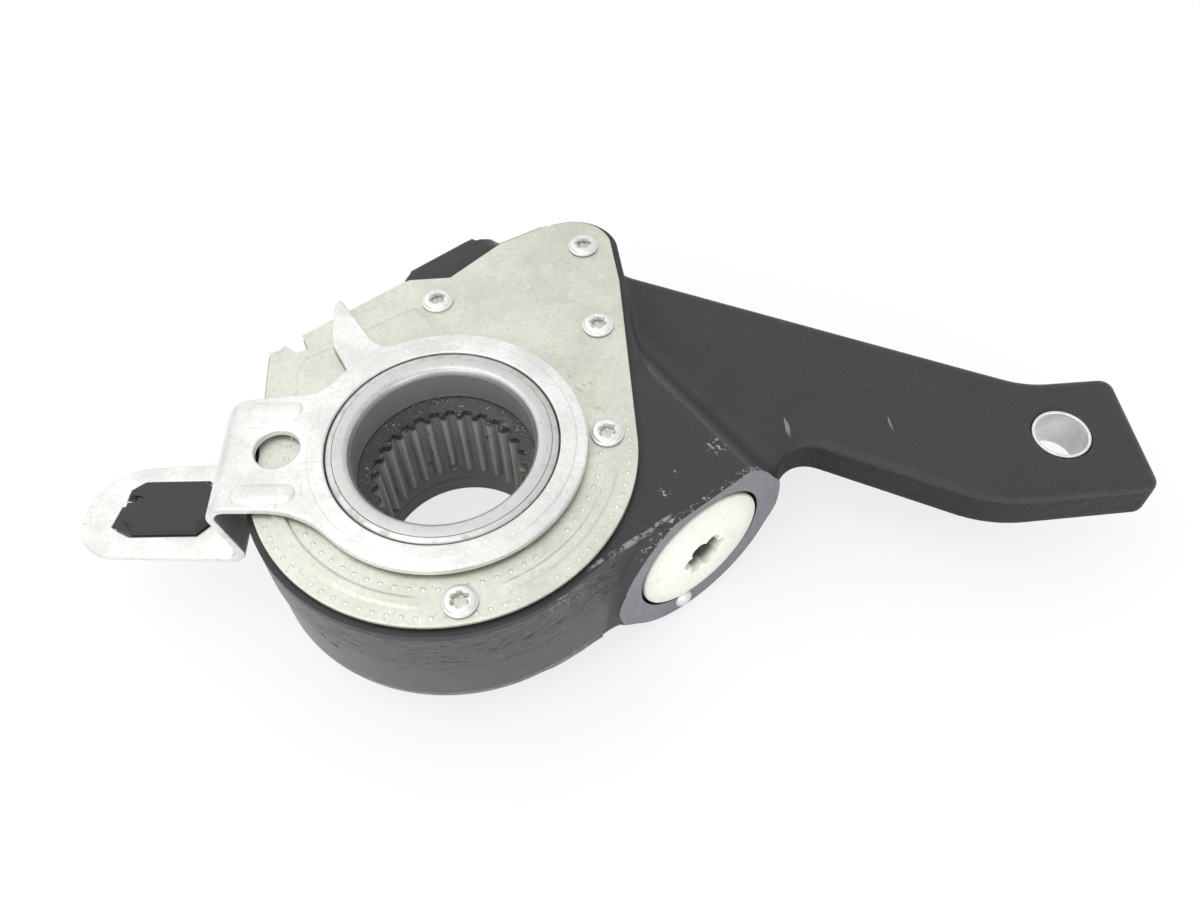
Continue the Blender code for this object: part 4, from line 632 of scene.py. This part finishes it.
def sheet(name, outline, hole_radius, low, thick, height, rows=76, edge=0.28):
    """A stamped sheet between an outline and a round hole. Each column runs from a point of the outline
    straight to the hole's edge; the first and last rows go round the sheet's edges."""
    turn = np.minimum.accumulate(np.unwrap(np.arctan2(outline[:, 1], outline[:, 0])))
    rim = np.stack([np.cos(turn), np.sin(turn)], axis=-1) * hole_radius
    span = np.linalg.norm(rim - outline, axis=1)[:, None]
    share = np.concatenate([[0, 0.3 * edge / 20, edge / 20], np.linspace(1.6 * edge / 20, 1 - 0.02, rows),
                            [1 - edge / 40, 1]])
    lower = np.concatenate([[edge * 0.75], [edge * 0.25, 0], np.zeros(rows), [edge * 0.1, edge * 0.5]])
    flat = outline[:, None] + (rim - outline)[:, None] * share[None, :, None]
    rise = height(flat.reshape(-1, 2)).reshape(flat.shape[:2])
    top = np.concatenate([flat, (low + thick + rise - lower[None])[..., None]], axis=-1)
    under = np.concatenate([flat[:, ::-1][:, ::8], (low + rise[:, ::-1][:, ::8])[..., None]], axis=-1)
    seam = np.concatenate([flat[:, :1], np.full((len(flat), 1, 1), low + 0.1)], axis=-1)
    print(f"{name}: columns {span.min():.0f} to {span.max():.0f} mm long")
    return grid_mesh(name, np.concatenate([top, under, seam], axis=1), True, True, 28)


cover_data = sheet("cover_sheet", even(cover_outline(), 0.45), 28.2, COVER_Z, 1.0, cover_height)

# %% [markdown]
# ### Zinc plate with a passivated tinge
# Plated sheet is neither mirror nor paint: fine spangle, a warm grey-green tinge, faint handling marks, and
# here olive grease that has crept out from under the arm. Two rows of tiny dots follow the round side.

# %% Zinc plate
def zinc(name, tint, shade, dots=False, grease=0.0, rough=0.34, brushed=0.5, metallic=0.8, recess_shade=None):
    """Plated sheet: cloudy tint, grain, handling marks, and on the cover raised dots, lit by a painted highlight,
    and grease. The floor of a socket, where the recess mask is set, is painted dark as shade."""
    made = Finish(name, Metallic=metallic)
    cloud = made.noise(75, 5, 0.65)
    spangle = made.noise(1000, 3, 0.65)
    long_x = made.noise(420, 3, 0.7, (0.12, 2.2, 1)).step(0.58, 0.7)
    long_y = made.noise(380, 3, 0.7, (2.0, 0.16, 1)).step(0.62, 0.72)
    marks = (long_x + long_y).math("MINIMUM", 1.0) * made.noise(60, 2).step(0.4, 0.6)
    colour = layered(
        cloud.step(0.33, 0.67).mix(tint, shade),
        (spangle.step(0.52, 0.72) * 0.6, tuple(0.7 * v for v in shade)),
        (spangle.step(0.42, 0.28) * 0.6, tuple(min(0.95, 1.16 * v) for v in shade)),
        (marks * brushed * 0.5, tuple(0.78 * v for v in tint)))
    height = spangle * 0.55 + made.noise(240, 2) * 0.5 - marks * brushed * 0.6
    if dots:
        for ring_r, count in ((0.0434, 86), (0.0366, 72)):
            wave = (made.angle * (count / (2 * math.pi))).math("FRACT") - 0.5
            dot = (wave.math("ABSOLUTE") * (2 * math.pi * ring_r / count)).step(0.00052, 0.00034)
            dot = dot * (made.radius - ring_r).math("ABSOLUTE").step(0.00048, 0.0003)
            present = made.noise(75, 1).step(0.4, 0.47) * made.y.step(0.012, 0.004)
            height = height + dot * present * 2.6
            # The raised dots' tops are painted lighter: a painted highlight.
            colour = (dot * present * 0.5).mix(colour, (0.92, 0.92, 0.87))
    if grease:
        near = made.radius.band(0.0345, 0.04, 0.0012) * made.angle.band(0.25, 0.8, 0.15)
        spots = made.noise(230, 4, 0.7).step(0.52, 0.64) * near
        drips = made.noise(160, 5, 0.75).step(0.72, 0.78)
        film = (spots * 0.6 + drips * 0.35) * grease
        colour = film.math("MINIMUM", 1.0).mix(colour, (0.42, 0.41, 0.16))
    if recess_shade:
        # Painted shade in a recess: its floor is coloured dark.
        colour = recess_shade(made).mix(colour, spangle.mix((0.05, 0.05, 0.045), (0.22, 0.22, 0.2)))
    made.drive(Base_Color=colour, Roughness=cloud * 0.14 + rough + marks * 0.08)
    return made.bump(height, 0.00006)


cover_finish = zinc("zinc_plate", (0.6, 0.61, 0.53), (0.7, 0.71, 0.63), dots=True, grease=1.0,
                    brushed=0.2)
piece("cover_sheet", cover_data, "body", cover_finish.material, "zinc_plate", "cover_plate")

# %% [markdown]
# ## Screws and cap
# A six-lobe recess is a radius that rises and falls six times round. The face of each screw is one polar
# grid: recess floor, recess wall, face, rounded edge and shank are simply its rows.

# %% Six-lobe faces
def lobed(name, profile, lobes_at, depth, steps=144, place=None):
    """A turned profile whose first rows, up to the radius lobes_at, are pressed into six lobes."""
    def press(r, angle, z):
        wave = np.abs(np.cos(3 * angle)) ** 0.8 * 2 - 1
        return np.where(r <= lobes_at, r * (1 + depth * wave * np.minimum(r / lobes_at, 1)), r)
    return lathe(name, profile, steps, False, press, 34, place)


def screw(number, place):
    """A pan-head screw, seated on the cover's land and turned by its own angle."""
    angle = number * 0.9
    placed = frame_matrix((*place, SHEET_TOP + 0.1), (math.cos(angle), math.sin(angle), 0), UP)
    head = [
        (0, -1.5), (1.0, -1.5), (1.4, -1.45), (1.5, -1.3), (1.78, 1.2), (1.9, 1.42), (2.3, 1.5),
        (2.45, 1.49), (2.9, 1.42), (3.2, 1.33), (3.45, 1.12), (3.55, 0.95), (3.6, 0.8), (3.85, 0.72),
        (3.95, 0.6), (3.95, 0.12), (3.85, 0.0), (2.05, 0.0), (2.05, -6.2), (1.5, -7.1), (0, -7.1)]
    return lobed(f"screw_{number}", np.array(head), 2.0, 0.2, place=placed)


BRIGHT = dict(tint=(0.76, 0.765, 0.75), shade=(0.86, 0.865, 0.85), rough=0.27, brushed=0.3)
plated = zinc("bright_zinc", **BRIGHT)
# The screws' six-lobe sockets get painted shade on their floors.
screw_finish = zinc("screw_zinc", **BRIGHT, recess_shade=lambda made: made.z.step(0.048, 0.0474))
for number, place in enumerate(SCREWS, 1):
    piece(f"screw_{number}", screw(number, place), "body", screw_finish.material, "bright_zinc",
          f"cover_screw_{number}")

cap_profile = np.array([
    (0, 44.6), (3.6, 44.6), (4.6, 44.7), (4.9, 45.0), (5.3, 49.8), (5.45, 50.1), (5.65, 50.2), (6.4, 50.2),
    (10, 49.9), (14, 49.4), (16.8, 49.0), (17.35, 48.8), (17.6, 48.4), (17.6, 46.2), (17.4, 45.8),
    (16.6, 45.8), (16.6, 43.2), (15.2, 43.2), (15.2, 41.2), (16.6, 41.2), (16.6, 39.0), (0, 39.0)])
cap_data = lobed("cap", cap_profile, 5.7, 0.16, 216, place=WORM_FRAME)
# The cap's six-lobe recess gets painted shade on its floor.
cap_finish = zinc("cap_zinc", (0.9, 0.905, 0.83), (0.95, 0.955, 0.89), grease=0.5, rough=0.42, brushed=0.3,
                  metallic=0.35, recess_shade=lambda made: made.along(ALONG).step(0.0496, 0.047))
piece("cap", cap_data, "body", cap_finish.material, "zinc_plate", "end_cap")
pin_profile = np.array([
    (0, 1.8), (0.8, 1.72), (1.6, 1.4), (2.2, 0.95), (2.5, 0.45), (2.5, 0.05), (1.1, 0.02), (1.1, -6.8),
    (0, -6.8)])
pin_data = lathe("cap_pin", pin_profile, 48, False, place=PIN_FRAME)
piece("cap_pin", pin_data, "body", plated.material, "bright_zinc", "lock_pin")

# %% [markdown]
# ## The splined wheel
# The wheel's neck ends in a broad rounded rim, and its bore carries the spline. The whole piece is one turned
# profile whose radius also depends on the angle: teeth outside, splines inside.

# %% Splined wheel
SPLINES, SPLINE_R, SPLINE_DEPTH = 28, 17.2, 1.6
WHEEL_TEETH, WHEEL_TIP, WHEEL_ROOT, TOOTH = 22, 30.4, 25.6, 4.8
WORM_R, WORM_PITCH, WHEEL_R = 10.0, 8.082, 28.3
TWIST = 1 / WORM_R * WORM_PITCH / (2 * math.pi) / WHEEL_R


def wheel_radius(r, angle, z):
    """Adds the spline grooves to the bore and the slanted worm teeth to the rim."""
    wave = (angle * SPLINES / (2 * math.pi) + 0.13) % 1
    groove = np.clip((np.abs(wave - 0.5) - 0.13) / 0.16, 0, 1)
    inner = (np.abs(r - SPLINE_R) < 0.01) & (z > 14.4) & (z < 38.6)
    r = np.where(inner, SPLINE_R + SPLINE_DEPTH * groove, r)
    start = math.atan2(ACROSS[1], ACROSS[0])
    phase = ((angle - start - TWIST * (z - 25.4)) * WHEEL_TEETH / (2 * math.pi)) % 1
    height = np.clip((0.31 - np.abs(phase - 0.5)) / 0.17, 0, 1)
    return np.where(np.abs(r - WHEEL_TIP) < 0.01, WHEEL_ROOT + TOOTH * height, r)


rim = soft([
    (22.2, 50.8, 1.5), (25.42, 50.8, 0.12), (25.4, 36.4, 0), (WHEEL_TIP, 36.4, 0), (WHEEL_TIP, 14.4, 0),
    (25.4, 14.4, 0), (25.4, 0.0, 0.6), (21.1, 0.0, 0.3), (20.9, 4.8, 0), (21.4, 5.0, 0), (21.4, 5.6, 0),
    (20.9, 5.8, 0), (20.9, 13.5, 0), (19.4, 14.4, 0), (19.2, 14.5, 0), (SPLINE_R, 14.5, 0),
    (SPLINE_R, 20.0, 0), (SPLINE_R, 38.5, 0), (19.2, 38.6, 0), (21.4, 40.1, 0.3), (21.4, 48.9, 0.6)], 5)
toothed = []
for a, b in zip(rim, np.roll(rim, -1, axis=0)):
    on_teeth = abs(a[0] - b[0]) < 0.01 and abs(a[0] - WHEEL_TIP) < 0.01
    toothed.append(np.linspace(a, b, 9)[:-1] if on_teeth else a[None])
wheel_data = lathe("wheel", np.concatenate(toothed), SPLINES * 22, True, wheel_radius, 34)

steel = Finish("machined_steel")
rings = (steel.radius * 16000.0 + steel.z * 9000.0).math("SINE")
cloud = steel.noise(130, 4, 0.6)
rub = steel.noise(900, 3, 0.65)
bore = steel.radius.step(0.0219, 0.0212) * steel.z.step(0.0502, 0.0494)
lands = steel.radius.step(0.0186, 0.0176) * steel.z.step(0.0384, 0.0376) * steel.z.step(0.0146, 0.0152)
grooves = steel.radius.step(0.02, 0.0192) * steel.z.step(0.0384, 0.0376) * steel.z.step(0.014, 0.015)
ledge = steel.z.band(0.0368, 0.0412, 0.0006) * bore
smear = steel.noise(260, 4, 0.65)
wet = (ledge * smear.step(0.3, 0.4)).math("MAXIMUM", grooves * smear.step(0.62, 0.68) * 0.7)
olive = steel.noise(190, 3, 0.6).step(0.46, 0.58) * grooves * steel.angle.band(-0.45, 0.4, 0.2)
glint = steel.noise(1500, 2, 0.6, (1, 1, 1.6)).step(0.64, 0.68) * steel.noise(300, 2).step(0.45, 0.55) * ledge
tone = layered(
    cloud.mix((0.52, 0.525, 0.51), (0.66, 0.665, 0.645)),
    (rub.step(0.52, 0.7) * 0.35, (0.36, 0.36, 0.34)),
    (bore, cloud.mix((0.155, 0.165, 0.17), (0.215, 0.225, 0.23))),
    (bore * steel.z.step(0.0152, 0.0142), (0.36, 0.36, 0.37)),
    # The spline's lands are painted lighter than its grooves: a painted highlight on the crests and painted shade
    # in the grooves.
    (grooves, cloud.mix((0.3, 0.3, 0.31), (0.42, 0.42, 0.43))),
    (lands, cloud.mix((0.5, 0.5, 0.5), (0.62, 0.62, 0.61))),
    (wet, (0.05, 0.05, 0.058)),
    (glint * 0.8, (0.8, 0.8, 0.84)),
    (olive * 0.8, (0.24, 0.23, 0.1)))
steel.drive(Base_Color=tone, Roughness=cloud * 0.12 + rub * 0.1 + 0.26 + bore * 0.04 - wet * 0.3,
            Coat_Weight=wet * 0.5, Metallic=0.95 - bore * 0.85)
steel.bump(rings * 0.1 + cloud * 0.3 + rub * 0.4 + wet * steel.noise(1300, 3, 0.6) * 16.0, 0.00005)
piece("wheel", wheel_data, "splined_wheel", steel.material, "machined_steel", "worm_wheel")

# %% [markdown]
# ## Collar of the control gear
# Between the wheel's neck and the arm's ring stands a thin collar, which is the neck of the control gear
# under the cover. It lies so close to the wheel's rim that both read as one bright band.

# %% Collar and gear
GEAR_TEETH, GEAR_TIP, GEAR_ROOT, GEAR_TOOTH = 68, 33.1, 31.4, 1.7


def gear_radius(r, angle, z):
    """Adds straight teeth to the rim of the control gear."""
    start = math.atan2(SHAFT[1], SHAFT[0])
    phase = ((angle - start) * GEAR_TEETH / (2 * math.pi) + 0.5) % 1
    height = np.clip((0.33 - np.abs(phase - 0.5)) / 0.2, 0, 1)
    return np.where(np.abs(r - GEAR_TIP) < 0.01, GEAR_ROOT + GEAR_TOOTH * height, r)


collar_profile = soft([
    (25.5, 50.72, 0.1), (27.05, 50.45, 0.7), (27.05, 45.8, 0), (GEAR_TIP, 45.8, 0), (GEAR_TIP, 42.1, 0),
    (25.5, 42.1, 0)], 4)
collar_data = lathe("collar", collar_profile, GEAR_TEETH * 12, True, gear_radius)
collar_steel = Finish("collar_steel", Metallic=0.9)
blotch = collar_steel.noise(300, 4, 0.6)
grime = blotch.step(0.45, 0.62)
collar_steel.drive(Base_Color=(grime * 0.25).mix((0.62, 0.625, 0.61), (0.26, 0.25, 0.22)),
                   Roughness=grime * 0.3 + 0.3)
collar_steel.bump(blotch, 0.00006)
piece("collar", collar_data, "control_arm_set", collar_steel.material, "machined_steel", "control_ring")

# %% [markdown]
# ## The control arm
# The arm is stamped flat and then folded twice, so it is made the same way here. The flat blank is a filled
# curve with slightly rounded edges. It is sliced across each bend, and a formula then folds it: along the
# sheet the heading turns by the length over the bend's radius.

# %% Flat blank and fold
ARM_TOP, SHEET, BEND = 50.45, 2.0, 4.0
turn_arm = math.radians(174.9)
D = np.array([math.cos(turn_arm), math.sin(turn_arm)])
E = np.array([-D[1], D[0]])
FOLD_AT, LEAN = 47.8, math.radians(97.5)
WALL = (23.65 - 2 * BEND * (1 - math.cos(LEAN))) / math.sin(LEAN)
BEND_LENGTH = BEND * LEAN
TAB_FROM = FOLD_AT + 2 * BEND_LENGTH + WALL
TAB_AT = FOLD_AT + 2 * BEND * math.sin(LEAN) + WALL * math.cos(LEAN)
TAB_END, SLOT_AT, SLOT_SIDE, RING_R = 92.0, 70.7, 1.4, 33.7


def fold(points):
    """Folds blank points (along, side, height above mid sheet): the heading drops over the first bend, stays
    down the wall and comes back over the second, and the position is its running sum."""
    length = np.linspace(FOLD_AT, TAB_FROM, 4001)
    down = np.clip(length - FOLD_AT, 0, BEND_LENGTH) / BEND
    down -= np.clip(length - FOLD_AT - BEND_LENGTH - WALL, 0, BEND_LENGTH) / BEND
    pace = length[1] - length[0]
    out = FOLD_AT + np.concatenate([[0], np.cumsum(np.cos(down[:-1]) * pace)])
    drop = np.concatenate([[0], np.cumsum(np.sin(down[:-1]) * pace)])
    along, side, height = points.T
    heading = np.interp(along, length, down)
    place = np.where(along < FOLD_AT, along, np.interp(along, length, out) + np.maximum(along - TAB_FROM, 0))
    fall = np.interp(along, length, drop)
    s = place + height * np.sin(heading)
    z = ARM_TOP - SHEET / 2 - fall + height * np.cos(heading)
    return np.column_stack([s[:, None] * D + side[:, None] * E, z])


def blank_outline():
    """Outline of the flat blank in (along, side): ring, wear pointer, bracket, wall and rounded tab."""
    to_local = np.stack([D, E], axis=1)
    ring = arc((0, 0), RING_R, -136, 112, 120) @ to_local
    pointer = soft([
        (-14.2, 31.4, 0), (-17.3, 34.0, 3), (-19.6, 37.9, 6), (-22.5, 43.2, 6), (-25.5, 48.0, 0.7),
        (-26.8, 45.6, 2), (-27.3, 41.5, 8), (-27.0, 33.7, 8), (-24.4, 28.0, 3),
        (-22.98, 24.65, 0)], 4) @ to_local
    root = arc((0, 0), RING_R, 134, 142.5, 5) @ to_local
    wall, end = TAB_FROM - 5, TAB_FROM + TAB_END - TAB_AT
    body = soft([
        (28.6, -17.8, 0), (31.6, -15.4, 5), (40.0, -14.8, 20), (FOLD_AT + 0.4, -13.6, 5),
        (FOLD_AT + 5.5, -11.6, 6), (wall, -12.4, 6), (end, -10.2, 14.5), (end, 14.6, 9.5), (wall, 16.3, 6),
        (FOLD_AT + 6, 17.3, 6), (31.2, 17.6, 24), (22.06, 25.47, 0)], 9)
    return np.concatenate([ring, pointer, root, body[:-1]])


def stamped(name, outlines, thick, edge):
    """A flat sheet in mm from closed outlines, holes included, centred on height 0, with rounded edges."""
    flat = bpy.data.curves.new(name, "CURVE")
    flat.dimensions, flat.fill_mode = "2D", "BOTH"
    flat.extrude, flat.bevel_depth, flat.bevel_resolution = thick / 2 - edge, edge, 3
    flat.offset = -edge
    for outline in outlines:
        line = flat.splines.new("POLY")
        line.points.add(len(outline) - 1)
        places = np.column_stack([outline, np.zeros(len(outline)), np.ones(len(outline))])
        line.points.foreach_set("co", places.ravel())
        line.use_cyclic_u = True
    data = applied(linked(name, flat))
    weld(data, 0.004)
    return data


hole = arc((38.3, 0.9), 5.3, 0, 360, 64)[:-1]
ring_hole = arc((0, 0), 29.2, 0, 360, 160)[:-1]
slot = np.array([
    (8.0, -7.9), (11.4, -4.4), (11.5, -2.4), (9.2, -2.2), (9.0, -0.8), (12.4, -0.6), (13.7, 5.2),
    (11.6, 6.6), (8.6, 8.1), (-8.0, 8.1), (-11.5, 4.5), (-11.5, -4.4), (-8.0, -7.9)])
slot_edge = slot + (TAB_FROM + SLOT_AT - TAB_AT, SLOT_SIDE)
blank = stamped("arm_sheet", [blank_outline(), ring_hole, hole, slot_edge], SHEET, 0.45)
mesh = bmesh.new()
mesh.from_mesh(blank)
for start in (FOLD_AT, FOLD_AT + BEND_LENGTH + WALL):
    for at in np.linspace(start, start + BEND_LENGTH, 13):
        everything = mesh.verts[:] + mesh.edges[:] + mesh.faces[:]
        bmesh.ops.bisect_plane(mesh, geom=everything, plane_co=(at, 0, 0), plane_no=(1, 0, 0))
mesh.to_mesh(blank)
mesh.free()
folded = fold(coordinates(blank))
TIP_FROM, TIP_LENGTH, TIP_LIFT = 47.0, 7.0, 1.1
tip = np.clip((np.hypot(folded[:, 0], folded[:, 1]) - TIP_FROM) / TIP_LENGTH, 0, 1) * (folded[:, 1] > 30)
folded[:, 2] += TIP_LIFT * tip ** 2
move_points(blank, folded)


def bead(start, end, side, width, height):
    """A stiffening bead pressed up out of the sheet: a raised cosine across, rounded off at both ends."""
    u, v = np.meshgrid(np.linspace(0, 1, 60), np.linspace(-1, 1, 21), indexing="ij")
    along = start + (end - start) * u
    reach = np.minimum(along - start, end - along) / (width / 2)
    half = width / 2 * np.sqrt(np.clip(1 - (1 - np.clip(reach, 0, 1)) ** 2, 0.0004, 1))
    rise = np.clip(np.cos(v * math.pi / 2), 0, 1) ** 0.45 * np.clip(half / (width / 2), 0, 1)
    lift = SHEET / 2 - 0.06 + height * rise
    points = np.column_stack([along.ravel(), (side + half * v).ravel(), lift.ravel()])
    return fold(points).reshape(60, 21, 3)


BEADS = ((33.8, 46.9, -10.6, 4.3, 0.42), (31.9, 46.9, 13.4, 5.4, 0.5))
beads = [grid_mesh("bead", bead(*values), False, False, 60) for values in BEADS]
ring_band = soft([
    (27.35, 50.72, 0.45), (30.95, 50.72, 0.35), (31.35, 50.25, 0), (29.6, 48.9, 0), (29.4, 48.4, 0),
    (27.35, 48.4, 0.3)], 5)
arm_data = applied(merged([blank, *beads, lathe("ring_band", ring_band, 256)]))
arm_data.shade_smooth()
arm_data.set_sharp_from_angle(angle=math.radians(40))
arm_finish = zinc("arm_zinc", (0.67, 0.685, 0.66), (0.84, 0.85, 0.825), rough=0.32, brushed=1.0)
arm = piece("arm_sheet", arm_data, "control_arm_set", arm_finish.material, "bright_zinc", "control_arm")
even_out = arm.modifiers.new("even_normals", "WEIGHTED_NORMAL")
even_out.keep_sharp = True

# %% [markdown]
# ## Slot insert and clevis bush
# The tab's slot is filled by a moulded insert with sloping sides, a notch and a low tongue at its outer end.
# It is a stack of outlines, each a little smaller than the one below.

# %% Insert and bush
UPPER = np.array([
    (7.6, -7.4), (10.7, -4.6), (10.8, -2.9), (8.5, -2.7), (8.5, -0.4), (10.9, -0.2), (11.0, 4.2),
    (7.9, 7.5), (-7.6, 7.5), (-11.1, 4.2), (-11.1, -4.2), (-7.6, -7.4)])
LOWER = np.array([
    (7.7, -7.6), (11.1, -4.3), (11.2, -2.8), (8.7, -2.6), (8.7, -0.5), (12.2, -0.3), (13.4, 5.1),
    (8.4, 7.8), (-7.8, 7.8), (-11.2, 4.3), (-11.2, -4.3), (-7.7, -7.6)])
CROWN = UPPER.copy()
CROWN[3:5, 0] = 10.8
INSERT_LOW, INSERT_TOP = 24.1, 28.8


def insert_rings():
    """Rings of the insert from its underside to its crown, each scaled, shifted aside and lifted."""
    stack = [
        (LOWER, 0.5, 0.5, 0, INSERT_LOW), (LOWER, 0.97, 0.97, 0, INSERT_LOW), (LOWER, 0.99, 0.99, 0, 24.3),
        (LOWER, 0.99, 0.99, 0, 26.95), (LOWER, 0.975, 0.97, 0, 27.05), (UPPER, 0.99, 0.985, 0, 27.1),
        (UPPER, 0.985, 0.965, -0.05, 27.6), (UPPER, 0.965, 0.84, -0.35, 28.7),
        (UPPER, 0.95, 0.815, -0.35, INSERT_TOP), (CROWN, 0.5, 0.4, -0.35, INSERT_TOP)]
    rings = []
    for outline, along, across, aside, z in stack:
        ring = even(outline, 0, 8) * (along, across)
        flat = (SLOT_AT + ring[:, :1]) * D + (SLOT_SIDE + aside + ring[:, 1:]) * E
        rings.append(np.column_stack([flat, np.full(len(ring), z)]))
    middle = SLOT_AT * D + SLOT_SIDE * E
    low, top = (np.array([(*middle, z)]) + 0 * rings[0] for z in (INSERT_LOW, INSERT_TOP))
    return np.stack([low, *rings, top], axis=1)


plastic = Finish("black_plastic", Metallic=0.0)
speck = plastic.noise(2200, 2, 0.5)
plastic.drive(Base_Color=speck.mix((0.016, 0.016, 0.018), (0.03, 0.03, 0.033)),
              Roughness=speck * 0.15 + 0.4)
plastic.bump(speck, 0.00004)
insert_data = grid_mesh("insert", insert_rings(), sharp=24)
piece("insert", insert_data, "control_arm_set", plastic.material, "black_plastic", "slot_insert")
bush_profile = soft([(6.4, 31.35, 0.3), (7.25, 31.35, 0.3), (7.25, 19.4, 0.3), (6.4, 19.4, 0.3)], 3)
bush_data = lathe("eye_bush", bush_profile, 128, place=EYE_FRAME)
piece("eye_bush", bush_data, "body", plated.material, "bright_zinc", "clevis_bush")

# %% [markdown]
# ## Everything behind the cover
# The hidden works keep their solids, but get finishes of their own, since a part may be opened.

# %% Hidden pieces
def plain(name, dark, light, rough, metallic, scale=400):
    """A quiet mottled finish for a hidden piece."""
    made = Finish(name, Metallic=metallic)
    mottle = made.noise(scale, 3, 0.6)
    made.drive(Base_Color=mottle.mix(dark, light), Roughness=mottle * 0.15 + rough)
    return made.bump(mottle, 0.00005).material


finishes = {
    "machined_steel": plain("inner_steel", (0.42, 0.42, 0.42), (0.55, 0.55, 0.54), 0.28, 0.95),
    "oiled_steel": plain("oiled_steel", (0.11, 0.11, 0.115), (0.18, 0.18, 0.185), 0.25, 0.9),
    "spring_steel": plain("spring_steel", (0.16, 0.16, 0.17), (0.27, 0.27, 0.28), 0.25, 0.95),
    "bronze": plain("bronze", (0.5, 0.34, 0.15), (0.62, 0.44, 0.22), 0.32, 0.95),
    "seal_rubber": plain("seal_rubber", (0.02, 0.02, 0.02), (0.035, 0.035, 0.035), 0.6, 0.0),
    "gasket_paper": plain("gasket_paper", (0.1, 0.095, 0.085), (0.17, 0.16, 0.14), 0.8, 0.0, 900)}
slots = {entry["node"]: entry["material_slot"] for entry in frame["record"]["subparts"]}
for name, thing in nodes.items():
    if slots.get(name) in finishes:
        thing.data.materials.clear()
        thing.data.materials.append(finishes[slots[name]])

# %% [markdown]
# ## Studio
# A pale floor, white light from all round and four soft lamps: a broad key above, one beyond the part, one
# that glances along its walls from the front left, and a small one at the right. The camera's lens and pose
# come from fitting the photograph's circles: it stands 25 cm over the floor and 15 cm before the bore's axis.

# %% Camera
FOCAL, PHOTO_WIDTH, SENSOR = 1076, 1200, 36.0
WHEEL_TOP = 0.0508
CAMERA_AT = Vector((0.0269, -0.14912, 0.19971 + WHEEL_TOP))
lens = bpy.data.cameras.new("camera")
lens.sensor_width, lens.lens = SENSOR, SENSOR * FOCAL / PHOTO_WIDTH
lens.clip_start, lens.clip_end = 0.01, 20
camera = linked("camera", lens)
bpy.context.scene.camera = camera
right, look = Vector((0.9953, -0.0942, -0.022)).normalized(), Vector((0.0371, 0.5814, -0.8128)).normalized()
upward = right.cross(look).normalized()
facing = Matrix((right, upward, -look)).transposed().to_4x4()
camera.matrix_world = Matrix.Translation(Vector(BORE) + CAMERA_AT) @ facing

# %% Floor and light
FLOOR_Z = -0.0001
floor_data = bpy.data.meshes.new("floor")
floor_data.from_pydata([(x, y, FLOOR_Z) for x, y in ((-3, -3), (3, -3), (3, 3), (-3, 3))], [], [(0, 1, 2, 3)])
floor = linked("floor", floor_data)
ground = Finish("floor", (0, 0, 0), Roughness=0.7, Specular_IOR_Level=0.1)
ground.drive(Base_Color=ground.noise(3, 2).mix((0.93, 0.93, 0.93), (0.96, 0.96, 0.96)))
glow = ground.tree.nodes.new("ShaderNodeEmission")
seen = Wire(ground.tree, ground.tree.nodes.new("ShaderNodeLightPath").outputs["Is Camera Ray"])
both = seen.node("ShaderNodeMixShader", _0=seen * 0.74)
ground.tree.links.new(ground.shader.outputs[0], both.inputs[1])
ground.tree.links.new(glow.outputs[0], both.inputs[2])
ground.tree.links.new(both.outputs[0], ground.tree.nodes["Material Output"].inputs[0])
floor_data.materials.append(ground.material)


def lamp(name, place, target, size, power):
    """A square area lamp that faces a target."""
    light = bpy.data.lights.new(name, "AREA")
    light.size, light.energy = size, power
    thing = linked(name, light)
    thing.location = place
    thing.rotation_euler = (Vector(target) - Vector(place)).to_track_quat("-Z", "Y").to_euler()


lamp("key", (-0.3, -0.12, 0.8), (0.0, 0.0, 0.0), 0.7, 1.5)
lamp("far", (-0.45, 0.42, 0.6), (-0.05, 0.0, 0.0), 0.9, 0.9)
lamp("front", (-0.3, -0.62, 0.3), (-0.03, 0.0, 0.03), 0.5, 0.75)
lamp("side", (0.3, -0.6, 0.2), (0.02, -0.03, 0.03), 0.3, 0.5)
world = bpy.data.worlds.new("studio")
bpy.context.scene.world = world
world.use_nodes = True
world.node_tree.nodes["Background"].inputs["Color"].default_value = (1, 1, 1, 1)
world.node_tree.nodes["Background"].inputs["Strength"].default_value = 0.9
bpy.context.scene.view_settings.view_transform = "Standard"

# %% Update the scene
bpy.context.view_layer.update()
